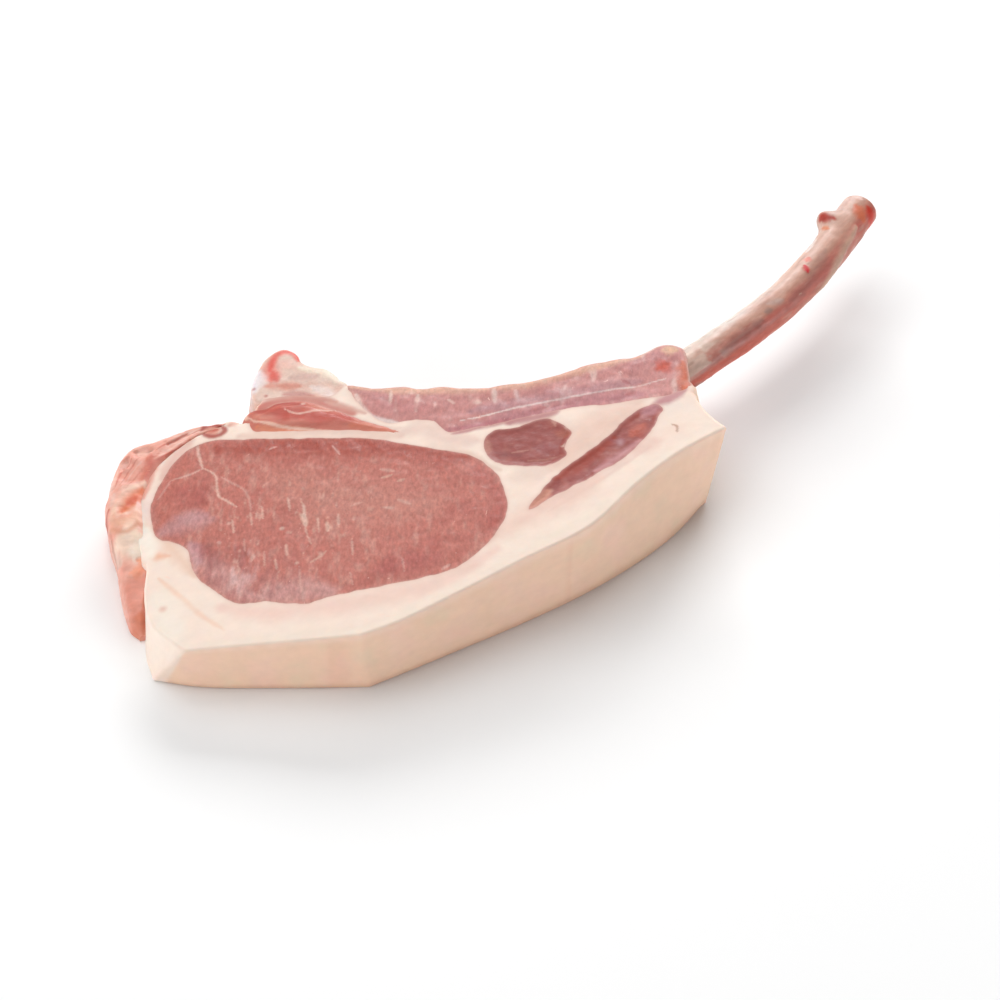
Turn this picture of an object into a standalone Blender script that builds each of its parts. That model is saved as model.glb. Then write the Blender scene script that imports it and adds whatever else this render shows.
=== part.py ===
"""A raw pork rib chop with a scraped rib bone, lying on its cut face.

The chop is a slice through a loin of pork.  A cap of back fat runs along its
front and reaches between the muscles as seams, and every muscle goes right
through the slice.  The slice is a wedge: thin at the backbone (-X) and thick at
the rib (+X).  Its rib bone has been scraped clean and reaches out past the meat.

Outlines are drawn in millimetres on the upper cut face.  All pieces stand on the
floor, and at the end the whole chop is moved so that the middle of its bounding
box, at floor height, is the origin.
"""

import math
from dataclasses import dataclass

import bmesh
import bpy
import numpy as np

MM = 0.001

# The slice
MIDDLE_THICKNESS = 24.5   # at x = 0 of the drawing
WEDGE_SLOPE = 0.12        # extra thickness for each millimetre towards the rib
GAP = 0.3                 # clearance between neighbouring pieces
CUTTER_REACH = 2.0        # how far a cutter runs past both cut faces
OUTLINE_STEP = 3.0        # distance between the points of an outline
RIM_LEVELS = (0.0, 0.06, 0.94, 1.0)                       # shares of the height, for upright sides
BULGE_LEVELS = (0.0, 0.06, 0.3, 0.55, 0.8, 0.94, 1.0)     # and for bulging ones

# The swelling of the lean round the root of the bone
RIB_BULGE = 7.0
RIB_BULGE_FADE = 22.0     # it dies away over this distance along the rib
RIB_BULGE_LEAST = 0.25    # share of it that stays further along

# The scraped rib bone
BONE_HALF_WIDTH = 5.6     # level, across the shaft
BONE_HALF_DEPTH = 5.1     # upright, across the shaft
BONE_SIDES = 16
BONE_STEP = 3.6           # distance between cross-sections
KNOB_HEIGHT = 3.9         # rib knuckle near the far end
KNOB_PLACE = 0.87         # where it stands, as a share of the bone's length
KNOB_SPREAD = 0.035
KNOB_TURN = math.radians(155.0)
TIP_ROUNDING = 3.0        # length over which each end is rounded off

# The belly-side flap, which sags towards the floor
FLAP_STATIONS = 26
FLAP_ARC_POINTS = 7
FLAP_SQUARENESS = 0.62    # below 1 the flap's shoulder is squarer than an ellipse


@dataclass(frozen=True)
class Run:
    """One stretch of an outline, from one corner to the next.

    Attributes:
        points: Places on the upper cut face that the smooth stretch passes through.
        low: The same stretch at the floor, where the side isn't upright.
        free: True on a natural outer side, which is rounded and may bulge.
    """

    points: tuple
    low: tuple = ()
    free: bool = False


# A wedge of fat: front cap, right end, and a back edge that lies inside the muscles
# which are cut out of it.
FAT_RUNS = (
    Run(points=((-93.6, -36.0), (-93.0, -49.0), (-90.0, -58.5), (-80.5, -68.0)),
        low=((-93.9, -36.0), (-94.0, -50.0), (-93.3, -58.0), (-90.7, -65.6)), free=True),
    Run(points=((-80.5, -68.0), (-63.7, -67.7), (-50.9, -67.6), (-35.5, -67.3)),
        low=((-90.7, -65.6), (-78.0, -68.0), (-52.0, -68.3), (-33.8, -68.0)), free=True),
    Run(points=((-35.5, -67.3), (-25.5, -63.6), (-10.3, -55.3), (5.2, -46.2), (23.5, -35.8),
                (37.1, -21.0), (48.1, -11.4), (61.1, -3.4)),
        low=((-33.8, -68.0), (-26.1, -63.9), (-10.5, -55.4), (5.0, -46.8), (23.0, -35.6),
             (38.0, -24.0), (48.5, -13.5), (57.2, -1.5)), free=True),
    Run(points=((61.1, -3.4), (56.2, 3.6), (53.2, 10.2), (50.0, 16.5)),
        low=((57.2, -1.5), (55.0, 4.5), (52.6, 10.4), (50.0, 16.5)), free=True),
    Run(points=((50.0, 16.5), (20.0, 13.5), (-8.0, 14.5), (-36.0, 18.0), (-46.0, 26.0), (-60.0, 26.4),
                (-66.2, 22.6), (-67.2, 17.0), (-70.6, 12.8), (-76.0, 14.8), (-82.0, 13.6),
                (-90.0, 9.0), (-97.0, 1.0), (-100.0, -16.0), (-97.5, -30.0), (-93.6, -36.0))),
)

# The big round muscle of the loin
EYE_RUNS = (
    Run(points=((-94.6, -13.8), (-92.3, -5.4), (-88.8, 2.8), (-82.4, 7.7), (-73.0, 8.0), (-55.3, 6.2),
                (-38.0, 4.1), (-19.1, -1.8), (-6.8, -7.0), (-0.2, -15.8), (1.8, -26.0), (-0.6, -34.2),
                (-5.9, -41.5), (-12.6, -47.0), (-28.5, -50.4), (-43.5, -53.0), (-50.6, -55.0),
                (-61.0, -52.8), (-68.2, -53.0), (-74.8, -47.5), (-80.4, -41.0), (-82.8, -33.0),
                (-86.6, -29.2), (-91.4, -27.4), (-93.8, -20.5))),
)

# A small dark muscle beside the eye
CAP_RUNS = (
    Run(points=((-4.0, -2.6), (-2.6, 2.2), (4.6, 3.5), (12.3, 5.6), (16.0, 3.7), (19.4, -0.4),
                (17.0, -5.6), (17.9, -8.6), (12.4, -12.3), (5.4, -11.2), (-1.4, -8.8))),
)

# A long dark muscle that points at the bone
STRIP_RUNS = (
    Run(points=((7.6, -28.0), (15.9, -22.6), (24.6, -17.3), (32.1, -12.5), (39.3, -4.6), (43.4, 3.4),
                (44.4, 7.4), (40.5, 7.2), (34.9, 3.6), (28.6, -4.0), (20.2, -11.4), (13.8, -17.6))),
)

# Lean along the rib: its lower edge borders the fat, its back and right end are free
RIB_LEAN_RUNS = (
    Run(points=((-42.6, 25.0), (-38.4, 16.8), (-30.8, 9.8), (-22.0, 9.9), (-16.4, 7.4), (-15.4, 4.4),
                (-8.0, 4.8), (5.5, 7.0), (16.5, 9.1), (32.9, 10.0), (45.2, 11.2), (52.1, 13.0))),
    Run(points=((52.1, 13.0), (52.6, 18.2), (52.0, 25.4), (50.6, 30.6), (46.2, 32.0), (38.6, 28.6),
                (23.4, 25.8), (13.9, 22.8), (-1.0, 21.2), (-18.0, 23.0), (-32.3, 24.6), (-42.6, 25.0)),
        free=True),
)

# Folded lean beside the backbone
CHINE_LEAN_RUNS = (
    Run(points=((-68.4, 11.0), (-60.0, 10.0), (-49.8, 9.1), (-38.0, 7.7), (-27.8, 5.6))),
    Run(points=((-27.8, 5.6), (-36.4, 10.2), (-47.5, 17.0), (-55.6, 21.2), (-64.6, 21.0))),
    Run(points=((-64.6, 21.0), (-70.0, 19.6), (-72.0, 15.6), (-68.4, 11.0)), free=True),
)

# What is left of the backbone: a sawn end of bone with its cartilage
BONE_STUB_RUNS = (
    Run(points=((-67.6, 23.6), (-58.0, 24.0), (-47.6, 22.6), (-43.6, 26.6))),
    Run(points=((-43.6, 26.6), (-48.3, 33.3), (-56.0, 37.2), (-58.6, 42.0), (-62.4, 44.2), (-66.8, 41.0),
                (-69.2, 34.4), (-70.2, 28.2), (-67.6, 23.6)),
        low=((-43.6, 26.6), (-48.3, 34.3), (-56.0, 38.6), (-58.6, 43.0), (-63.0, 45.4), (-68.6, 42.0),
             (-72.2, 35.0), (-72.8, 28.4), (-67.6, 23.6)), free=True),
)

# The flap: its edge against the fat, its free edge, and its height from the back to the tail
FLAP_INNER = ((-76.6, 13.8), (-84.0, 10.4), (-90.6, 4.6), (-95.0, -3.0), (-97.2, -10.7), (-97.8, -18.5),
              (-96.8, -26.0), (-95.0, -33.5), (-94.9, -44.0), (-95.2, -52.0))
FLAP_OUTER = ((-76.8, 17.4), (-86.0, 17.2), (-97.0, 12.6), (-104.4, 8.6), (-107.4, 0.8), (-108.0, -10.0),
              (-107.4, -20.5), (-104.6, -30.0), (-102.4, -40.0), (-97.0, -52.4))
FLAP_HEIGHT = ((0.0, 15.0), (0.35, 12.8), (0.55, 12.0), (0.72, 9.6), (0.9, 6.4), (1.0, 3.2))

# The rib bone's centre line, with its height above the floor
BONE_LINE = ((45.0, 24.0, 20.3), (54.2, 32.1, 21.0), (67.7, 43.7, 21.9), (80.0, 56.5, 22.8),
             (91.7, 69.4, 23.7), (100.6, 84.0, 24.7), (108.6, 98.0, 25.8))


def resampled(points, step):
    """Spread points evenly along a polyline, both of its ends included.

    Args:
        points: The polyline, one row a point.
        step: The wished distance between neighbours.

    Returns:
        The evenly spaced points.
    """
    lengths = np.linalg.norm(np.diff(points, axis=0), axis=1)
    along = np.concatenate(([0.0], np.cumsum(lengths)))
    count = max(3, round(along[-1] / step) + 1)
    wanted = np.linspace(0.0, along[-1], count)
    return np.stack([np.interp(wanted, along, column) for column in points.T], axis=1)


def smooth(points, closed=False, pieces=12):
    """Lay a centripetal Catmull-Rom curve through points.

    Args:
        points: The points, in any number of dimensions.
        closed: True for a loop, whose last point joins its first.
        pieces: Short straight pieces for each stretch between two points.

    Returns:
        The dense curve as an array, its start repeated at the end of a loop.
    """
    given = np.array(points, float)
    if closed:
        padded = np.vstack([given[-1:], given, given[:2]])
    else:
        padded = np.vstack([2 * given[:1] - given[1:2], given, 2 * given[-1:] - given[-2:-1]])
    knots = np.linalg.norm(np.diff(padded, axis=0), axis=1)[:, None] ** 0.5
    before, after = knots[:-1], knots[1:]
    slope_before = (padded[1:-1] - padded[:-2]) / before
    slope_after = (padded[2:] - padded[1:-1]) / after
    slopes = (slope_before * after + slope_after * before) / (before + after)
    share = np.linspace(0.0, 1.0, pieces, endpoint=False)[None, :, None]
    start, end = padded[1:-2, None], padded[2:-1, None]
    reach = after[:-1, None]
    rest = 1.0 - share
    curve = ((1 + 2 * share) * rest ** 2 * start + share * rest ** 2 * reach * slopes[:-1, None]
             + (1 + 2 * rest) * share ** 2 * end - rest * share ** 2 * reach * slopes[1:, None])
    return np.vstack([curve.reshape(-1, given.shape[1]), padded[-2:-1]])


def outline(runs):
    """Join runs into one closed outline.

    Args:
        runs: The stretches, in order; a single one is a smooth loop by itself.

    Returns:
        The upper outline, the floor outline and, for each point, how free it is.
    """
    upper, lower, free = [], [], []
    for run in runs:
        dense = smooth(run.points, closed=len(runs) == 1)
        high = resampled(dense, OUTLINE_STEP)
        low = high
        if run.low:
            dense_low = smooth(run.low)
            low_length = np.linalg.norm(np.diff(dense_low, axis=0), axis=1).sum()
            low = resampled(dense_low, low_length / (len(high) - 1))
        upper.append(high[:-1])
        lower.append(low[:-1])
        free.append(np.full(len(high) - 1, float(run.free)))
    free = np.concatenate(free)
    weight = np.minimum(free, np.minimum(np.roll(free, 1), np.roll(free, -1)) * 0.5 + 0.5 * free)
    return np.vstack(upper), np.vstack(lower), weight


def outward(loop):
    """Find the outward direction at each point of a closed plan outline."""
    along = np.roll(loop, -1, axis=0) - np.roll(loop, 1, axis=0)
    normal = np.stack([along[:, 1], -along[:, 0]], axis=1)
    normal /= np.linalg.norm(normal, axis=1)[:, None]
    turn = np.sum(loop[:, 0] * np.roll(loop[:, 1], -1) - loop[:, 1] * np.roll(loop[:, 0], -1))
    return normal if turn > 0 else -normal


def face_height(plan):
    """Height of the upper cut face over places in plan."""
    return MIDDLE_THICKNESS + WEDGE_SLOPE * plan[:, 0]


def slab_rings(runs, rim=0.8, bulge=0.0, bulge_at=None):
    """Stack the level outlines of a piece that goes right through the slice.

    Args:
        runs: The outline's stretches.
        rim: How far a free side is drawn in at both cut faces.
        bulge: How far a free side that faces the back swells out at half height.
        bulge_at: The x where the bulge is fullest; without it, it is even all round.

    Returns:
        Rings from the floor to the upper cut face.
    """
    upper, lower, free = outline(runs)
    swell = np.full(len(upper), bulge)
    if bulge_at is not None:
        near = np.exp(-((upper[:, 0] - bulge_at) / RIB_BULGE_FADE) ** 2)
        swell = bulge * (RIB_BULGE_LEAST + (1.0 - RIB_BULGE_LEAST) * near)
    levels = BULGE_LEVELS if bulge else RIM_LEVELS if free.any() else (0.0, 1.0)
    rings = []
    for level in levels:
        plan = lower + (upper - lower) * level
        away = outward(plan)
        swelling = swell * math.sin(math.pi * level) * np.maximum(away[:, 1], 0.0)
        push = swelling - rim * abs(2 * level - 1) ** 8
        plan = plan + away * (free * push)[:, None]
        rings.append(np.column_stack([plan, level * face_height(plan)]))
    return rings


def grown(rings):
    """Widen a slab's rings by the clearance and run them past both cut faces."""
    wide = [np.column_stack([ring[:, :2] + outward(ring[:, :2]) * GAP, ring[:, 2]]) for ring in rings]
    down, up = wide[0].copy(), wide[-1].copy()
    down[:, 2] -= CUTTER_REACH
    up[:, 2] += CUTTER_REACH
    return [down, *wide[1:-1], up]


def flap_sections():
    """Shape the sagging flap as cross-sections from its back end to its tail."""
    inner = resampled(smooth(FLAP_INNER), 1.0)
    outer = resampled(smooth(FLAP_OUTER), 1.0)
    share = np.linspace(0.0, 1.0, FLAP_STATIONS)
    sides = [np.stack([np.interp(share, np.linspace(0, 1, len(line)), column) for column in line.T], axis=1)
             for line in (inner, outer)]
    heights = np.interp(share, *zip(*FLAP_HEIGHT))
    turn = np.linspace(0.0, math.pi / 2, FLAP_ARC_POINTS)
    across = np.sin(turn) ** FLAP_SQUARENESS
    upright = np.cos(turn) ** FLAP_SQUARENESS
    sections = []
    for near, far, height in zip(*sides, heights):
        shoulder = near + (far - near) * across[:, None]
        arc = np.column_stack([shoulder, upright * height])
        sections.append(np.vstack([[*near, 0.0], arc]))
    return sections


def bone_sections(extra=0.0):
    """Shape the rib bone as cross-sections along its centre line.

    Args:
        extra: Millimetres added all round, to make the cutter of its socket.

    Returns:
        Rings from the end inside the meat to the free end.
    """
    line = resampled(smooth(BONE_LINE), BONE_STEP)
    along = np.linspace(0.0, 1.0, len(line))
    ahead = np.gradient(line, axis=0)
    ahead /= np.linalg.norm(ahead, axis=1)[:, None]
    level = np.cross(ahead, (0.0, 0.0, 1.0))
    level /= np.linalg.norm(level, axis=1)[:, None]
    upright = np.cross(level, ahead)
    length = np.linalg.norm(np.diff(line, axis=0), axis=1).sum()
    turn = np.linspace(0.0, 2 * math.pi, BONE_SIDES, endpoint=False)
    sections = []
    for centre, side, up, forward, share in zip(line, level, upright, ahead, along):
        to_end = min(share, 1.0 - share) * length
        round_off = math.sqrt(1.0 - (1.0 - min(to_end / TIP_ROUNDING, 1.0)) ** 2 * 0.55)
        knob = KNOB_HEIGHT * math.exp(-((share - KNOB_PLACE) / KNOB_SPREAD) ** 2)
        swelling = knob * np.maximum(0.0, np.cos(turn - KNOB_TURN)) ** 3 + extra
        wide = (BONE_HALF_WIDTH * round_off + swelling) * np.cos(turn)
        deep = (BONE_HALF_DEPTH * round_off + swelling) * np.sin(turn)
        sections.append(centre + wide[:, None] * side + deep[:, None] * up)
    sections[0] = sections[0] - ahead[0] * extra
    return sections


def closed_object(name, shells):
    """Make an object from closed shells, each skinned over equal rings with filled ends.

    Args:
        name: The object's name.
        shells: For each shell its rings, arrays of points in millimetres.

    Returns:
        The new object, in metres.
    """
    mesh = bpy.data.meshes.new(name)
    built = bmesh.new()
    for rings in shells:
        rows = [[built.verts.new(point * MM) for point in ring] for ring in rings]
        for row, following in zip(rows, rows[1:]):
            for place in range(len(row)):
                beside = (place + 1) % len(row)
                built.faces.new((row[place], row[beside], following[beside], following[place]))
        built.faces.new(rows[0])
        built.faces.new(rows[-1])
    bmesh.ops.recalc_face_normals(built, faces=built.faces)
    bmesh.ops.triangulate(built, faces=built.faces, ngon_method="EAR_CLIP")
    built.to_mesh(mesh)
    built.free()
    made = bpy.data.objects.new(name, mesh)
    bpy.context.collection.objects.link(made)
    return made


def skinned(name, rings, colour, roughness):
    """Make a piece of the chop from its rings and give it its plain material."""
    piece = closed_object(name, [rings])
    piece.data.materials.append(material(name, colour, roughness))
    return piece


def material(name, colour, roughness):
    """Make a plain material of the piece's colour."""
    made = bpy.data.materials.new(name)
    made.use_nodes = True
    shader = made.node_tree.nodes["Principled BSDF"]
    shader.inputs["Base Color"].default_value = (*colour, 1.0)
    shader.inputs["Roughness"].default_value = roughness
    shader.inputs["Metallic"].default_value = 0.0
    return made


def cut(piece, shells):
    """Cut the spaces of its neighbours out of a piece, all at once."""
    cutter = closed_object(f"{piece.name}_cutter", shells)
    cutter.hide_render = True
    cutter.display_type = "WIRE"
    boolean = piece.modifiers.new("neighbours", "BOOLEAN")
    boolean.operation = "DIFFERENCE"
    boolean.solver = "EXACT"
    boolean.object = cutter


def flap_prism():
    """Upright space over the flap's plan, to be cut out of the fat."""
    plan = np.vstack([resampled(smooth(FLAP_INNER), OUTLINE_STEP),
                      resampled(smooth(FLAP_OUTER), OUTLINE_STEP)[::-1]])
    plan = plan + outward(plan) * GAP
    floor, above = np.full(len(plan), -CUTTER_REACH), np.full(len(plan), 2 * MIDDLE_THICKNESS)
    return [np.column_stack([plan, floor]), np.column_stack([plan, above])]


def centre_on_floor(pieces):
    """Move all meshes so that the chop's box is centred over the origin, standing on z = 0."""
    bpy.context.view_layer.update()
    places = np.array([vertex.co[:] for piece in pieces for vertex in piece.data.vertices])
    middle = (places.min(axis=0) + places.max(axis=0)) / 2
    for thing in bpy.context.scene.objects:
        for vertex in thing.data.vertices:
            vertex.co.x -= middle[0]
            vertex.co.y -= middle[1]


def main():
    """Build the chop."""
    for thing in list(bpy.data.objects):
        bpy.data.objects.remove(thing)
    eye = slab_rings(EYE_RUNS)
    cap = slab_rings(CAP_RUNS)
    strip = slab_rings(STRIP_RUNS)
    rib_lean = slab_rings(RIB_LEAN_RUNS, rim=1.6, bulge=RIB_BULGE, bulge_at=BONE_LINE[0][0])
    chine = slab_rings(CHINE_LEAN_RUNS, rim=2.0, bulge=1.0)
    stub = slab_rings(BONE_STUB_RUNS, rim=1.2, bulge=0.6)

    fat = skinned("fat_cap", slab_rings(FAT_RUNS), (0.84, 0.62, 0.49), 0.4)
    cut(fat, [grown(rings) for rings in (eye, cap, strip, rib_lean, chine, stub)] + [flap_prism()])
    lean = skinned("rib_lean", rib_lean, (0.62, 0.27, 0.25), 0.4)
    cut(lean, [bone_sections(extra=GAP)])
    pieces = [
        fat,
        lean,
        skinned("loin_eye", eye, (0.55, 0.19, 0.15), 0.4),
        skinned("cap_muscle", cap, (0.38, 0.13, 0.13), 0.4),
        skinned("strip_muscle", strip, (0.42, 0.15, 0.14), 0.4),
        skinned("chine_lean", chine, (0.60, 0.18, 0.13), 0.4),
        skinned("chain_lean", flap_sections(), (0.72, 0.28, 0.20), 0.4),
        skinned("bone_stub", stub, (0.83, 0.62, 0.50), 0.4),
        skinned("rib_bone", bone_sections(), (0.42, 0.24, 0.19), 0.45),
    ]
    centre_on_floor(pieces)


main()
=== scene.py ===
"""Looks of a raw pork rib chop with a scraped rib bone, lying on its cut face.

The slice of loin is worked out as one plan.  The outlines on the cut face are read from
the solids, one triangulation is laid over all of them, and each piece takes its own
triangles, so neighbours share their seams point for point.  The belly flap and the rib
bone are surfaces carried along a path.  All shapes are worked out in millimetres.
"""

from __future__ import annotations

import logging
import math
from dataclasses import dataclass, field
from enum import Enum

import bpy
import numpy as np
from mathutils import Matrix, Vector, geometry


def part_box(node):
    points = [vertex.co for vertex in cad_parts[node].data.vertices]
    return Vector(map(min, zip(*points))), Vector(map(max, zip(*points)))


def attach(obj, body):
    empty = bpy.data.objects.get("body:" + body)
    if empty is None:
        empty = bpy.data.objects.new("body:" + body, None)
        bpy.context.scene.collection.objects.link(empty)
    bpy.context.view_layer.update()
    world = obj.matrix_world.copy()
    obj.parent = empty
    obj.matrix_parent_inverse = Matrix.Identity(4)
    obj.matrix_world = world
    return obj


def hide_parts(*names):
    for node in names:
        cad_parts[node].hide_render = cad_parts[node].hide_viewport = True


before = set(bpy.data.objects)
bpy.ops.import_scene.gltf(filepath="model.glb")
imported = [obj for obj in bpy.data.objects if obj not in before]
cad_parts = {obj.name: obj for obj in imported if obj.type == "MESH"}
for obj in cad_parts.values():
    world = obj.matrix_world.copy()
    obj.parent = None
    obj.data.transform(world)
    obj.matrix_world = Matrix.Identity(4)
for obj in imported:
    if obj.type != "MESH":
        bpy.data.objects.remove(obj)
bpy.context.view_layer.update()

log = logging.getLogger("pork_chop")

Array = np.ndarray

MM = 0.001
MESH_STEP = 0.46          # distance between mesh points, fine enough for a frayed seam
SEAM_GROWTH = 0.15        # half of the clearance between two solids
TINT_GAIN = 0.86          # the colour codes are the tissues as seen under this light
TRIANGLE_HEIGHT = 0.866   # height of an equal-sided triangle as a share of its side
SLIVER = 1e-7             # twice the area below which a triangle is left out
SHARP_EDGE = 55.0         # degrees between two faces from which their edge stays sharp
ABOVE_FLOOR = 1.0         # points of a solid higher than this are on its cut face
ON_FACE = 0.05            # how near a face a corner lies to be on it
BATCH = 4096              # places compared at a time, which keeps the tables small
TINY = 1e-9               # keeps a division from failing at zero

# The hash behind the noise: odd factors that mix a cell's three numbers and the seed.
CELL_FACTORS = (374761393, 668265263, 1440662683)
SEED_FACTOR = 974711
MIX_FACTOR = 1274126177
WORD = 0xFFFFFFFF         # keeps 32 bits
OCTAVE_SHIFT = 5.3        # keeps the layers of a noise from lining up
OCTAVE_SEED = 17


class Tissue(Enum):
    """The pieces of the slice, in the order in which they claim its triangles."""

    EYE = "loin_eye"
    CAP = "cap_muscle"
    STRIP = "strip_muscle"
    RIB = "rib_lean"
    CHINE = "chine_lean"
    STUB = "bone_stub"
    FAT = "fat_cap"


BACK_PIECES = (Tissue.RIB, Tissue.CHINE, Tissue.STUB)     # they have a free side at the back


# ---------------------------------------------------------------- numbers and curves

def linear(code: str) -> Array:
    """Turn an sRGB hex colour such as "c8a090" to linear red, green and blue."""
    value = np.array([int(code[place:place + 2], 16) for place in (0, 2, 4)]) / 255.0
    return np.where(value <= 0.04045, value / 12.92, ((value + 0.055) / 1.055) ** 2.4)


def ramp(values: Array, low: float, high: float) -> Array:
    """Smooth step: 0 up to low, 1 from high on; swapped ends turn it round."""
    share = np.clip((values - low) / (high - low), 0.0, 1.0)
    return share * share * (3.0 - 2.0 * share)


def lattice_value(cell: Array, seed: int) -> Array:
    """Give each whole-numbered cell a fixed value from -1 to 1 by mixing its bits.

    Args:
        cell: Whole numbers, three to a cell.
        seed: Picks the pattern.

    Returns:
        One value for each cell.
    """
    first, second, third = CELL_FACTORS
    mixed = cell[..., 0] * first + cell[..., 1] * second + cell[..., 2] * third
    mixed = (mixed + seed * SEED_FACTOR) & WORD
    mixed = ((mixed ^ (mixed >> 13)) * MIX_FACTOR) & WORD
    mixed = mixed ^ (mixed >> 16)
    return mixed / (WORD / 2.0) - 1.0


def noise(places: Array, size: float, seed: int, octaves: int = 1) -> Array:
    """Work out smooth value noise: cell values blended by a fifth-degree fade.

    Args:
        places: Points in two or three dimensions.
        size: Width of the coarsest cells, in the unit of the places.
        seed: Picks the pattern.
        octaves: Layers added, each half as wide and half as strong.

    Returns:
        Values of about -1 to 1, one for each place.
    """
    spots = np.zeros((len(places), 3))
    spots[:, :places.shape[1]] = places / size
    total = np.zeros(len(places))
    strength = 1.0
    for octave in range(octaves):
        cell = np.floor(spots).astype(np.int64)
        part = spots - cell
        fade = part ** 3 * (part * (6.0 * part - 15.0) + 10.0)
        for corner in np.ndindex(2, 2, 2):
            weight = np.prod(np.where(corner, fade, 1.0 - fade), axis=1)
            total += strength * weight * lattice_value(cell + corner, seed + OCTAVE_SEED * octave)
        spots = spots * 2.0 + OCTAVE_SHIFT
        strength *= 0.5
    return total / (2.0 - 2.0 * strength)


def smooth(points: Array, closed: bool = False, pieces: int = 10) -> Array:
    """Lay a centripetal Catmull-Rom curve through points: cubic pieces with shared slopes.

    Args:
        points: One row a point, in any number of dimensions.
        closed: True for a loop, whose last point joins its first.
        pieces: Straight pieces for each stretch between two points.

    Returns:
        The dense curve, its start repeated at the end of a loop.
    """
    given = np.asarray(points, float)
    if closed:
        padded = np.vstack([given[-1:], given, given[:2]])
    else:
        padded = np.vstack([2 * given[:1] - given[1:2], given, 2 * given[-1:] - given[-2:-1]])
    knots = np.linalg.norm(np.diff(padded, axis=0), axis=1)[:, None] ** 0.5
    before, after = knots[:-1], knots[1:]
    slopes = ((padded[1:-1] - padded[:-2]) / before * after
              + (padded[2:] - padded[1:-1]) / after * before) / (before + after)
    share = np.linspace(0.0, 1.0, pieces, endpoint=False)[None, :, None]
    rest = 1.0 - share
    reach = after[:-1, None]
    curve = ((1 + 2 * share) * rest ** 2 * padded[1:-2, None]
             + share * rest ** 2 * reach * slopes[:-1, None]
             + (1 + 2 * rest) * share ** 2 * padded[2:-1, None]
             - rest * share ** 2 * reach * slopes[1:, None])
    return np.vstack([curve.reshape(-1, given.shape[1]), padded[-2:-1]])


def spread(points: Array, step: float = 0.0, count: int = 0) -> Array:
    """Space points evenly along a polyline, by a step or to a count, both ends included.

    Args:
        points: The polyline.
        step: Distance between two points, where no count is given.
        count: How many points.

    Returns:
        The evenly spaced points.
    """
    lengths = np.linalg.norm(np.diff(points, axis=0), axis=1)
    along = np.concatenate(([0.0], np.cumsum(lengths)))
    count = count or max(3, round(along[-1] / step) + 1)
    wanted = np.linspace(0.0, along[-1], count)
    return np.stack([np.interp(wanted, along, column) for column in points.T], axis=1)


def outward(loop: Array) -> Array:
    """Find the outward unit direction at each point of a closed plan loop.

    Args:
        loop: Its points; which way they run is found from its signed area.

    Returns:
        One direction for each point, square to the line between its neighbours.
    """
    along = np.roll(loop, -1, axis=0) - np.roll(loop, 1, axis=0)
    normal = np.stack([along[:, 1], -along[:, 0]], axis=1)
    normal /= np.maximum(np.linalg.norm(normal, axis=1), TINY)[:, None]
    turn = np.sum(loop[:, 0] * np.roll(loop[:, 1], -1) - loop[:, 1] * np.roll(loop[:, 0], -1))
    return normal if turn > 0 else -normal


def nearest(places: Array, samples: Array) -> tuple[Array, Array]:
    """Find the nearest sample to each place.

    Args:
        places: Points to measure from.
        samples: Points to measure to.

    Returns:
        The distances and the numbers of the nearest samples, picked by the least of
        |sample|^2 - 2 place . sample.
    """
    number = np.empty(len(places), np.int64)
    target = samples.astype(np.float32)
    size = (target ** 2).sum(axis=1)
    for start in range(0, len(places), BATCH):
        block = places[start:start + BATCH].astype(np.float32)
        number[start:start + BATCH] = (size - 2.0 * block @ target.T).argmin(axis=1)
    return np.linalg.norm(places - samples[number], axis=1), number


def inside(places: Array, loop: Array) -> Array:
    """Tell which plan points lie inside a closed loop, by counting crossings to their right.

    Args:
        places: Points in plan.
        loop: The corners of the loop.

    Returns:
        True for each point inside.
    """
    found = np.zeros(len(places), bool)
    low, high = loop.min(axis=0), loop.max(axis=0)
    near = np.flatnonzero(((places >= low) & (places <= high)).all(axis=1))
    ends = np.roll(loop, -1, axis=0)
    rise = ends[:, 1] - loop[:, 1]
    slope = (ends[:, 0] - loop[:, 0]) / np.where(rise == 0.0, TINY, rise)
    for start in range(0, len(near), BATCH):
        block = places[near[start:start + BATCH]]
        height = block[:, 1:2]
        crosses = (loop[:, 1] <= height) != (ends[:, 1] <= height)
        beyond = loop[:, 0] + (height - loop[:, 1]) * slope > block[:, 0:1]
        found[near[start:start + BATCH]] = (crosses & beyond).sum(axis=1) % 2 == 1
    return found


# ---------------------------------------------------------------- painting

def flat_colour(count: int, code: str) -> Array:
    """One colour for a number of points."""
    return np.tile(linear(code), (count, 1))


def blend(colour: Array, code: str, mask: Array) -> Array:
    """Lay a colour over painted colours by a mask of 0 to 1."""
    return colour + (linear(code) - colour) * np.clip(mask, 0.0, 1.0)[:, None]


@dataclass(frozen=True)
class Mottle:
    """A colour laid where noise runs from one value to another.

    Attributes:
        colour: Its sRGB hex colour.
        strength: How much of the colour below it hides, 0 to 1.
        size: Width of the noise's cells in millimetres.
        seed: Picks the pattern.
        span: The noise value at which it starts, and the one at which it is full.
        octaves: Layers of noise.
        stretch: Scale of the places on each axis; less than 1 draws the pattern out.
    """

    colour: str
    strength: float
    size: float
    seed: int
    span: tuple = (0.0, 0.6)
    octaves: int = 3
    stretch: tuple = (1.0, 1.0, 1.0)

    def lay(self, colour: Array, places: Array, where: Array | float = 1.0) -> Array:
        """Lay it over painted colours, as strongly as where says."""
        pattern = noise(places * self.stretch, self.size, self.seed, self.octaves)
        return blend(colour, self.colour, self.strength * where * ramp(pattern, *self.span))


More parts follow.
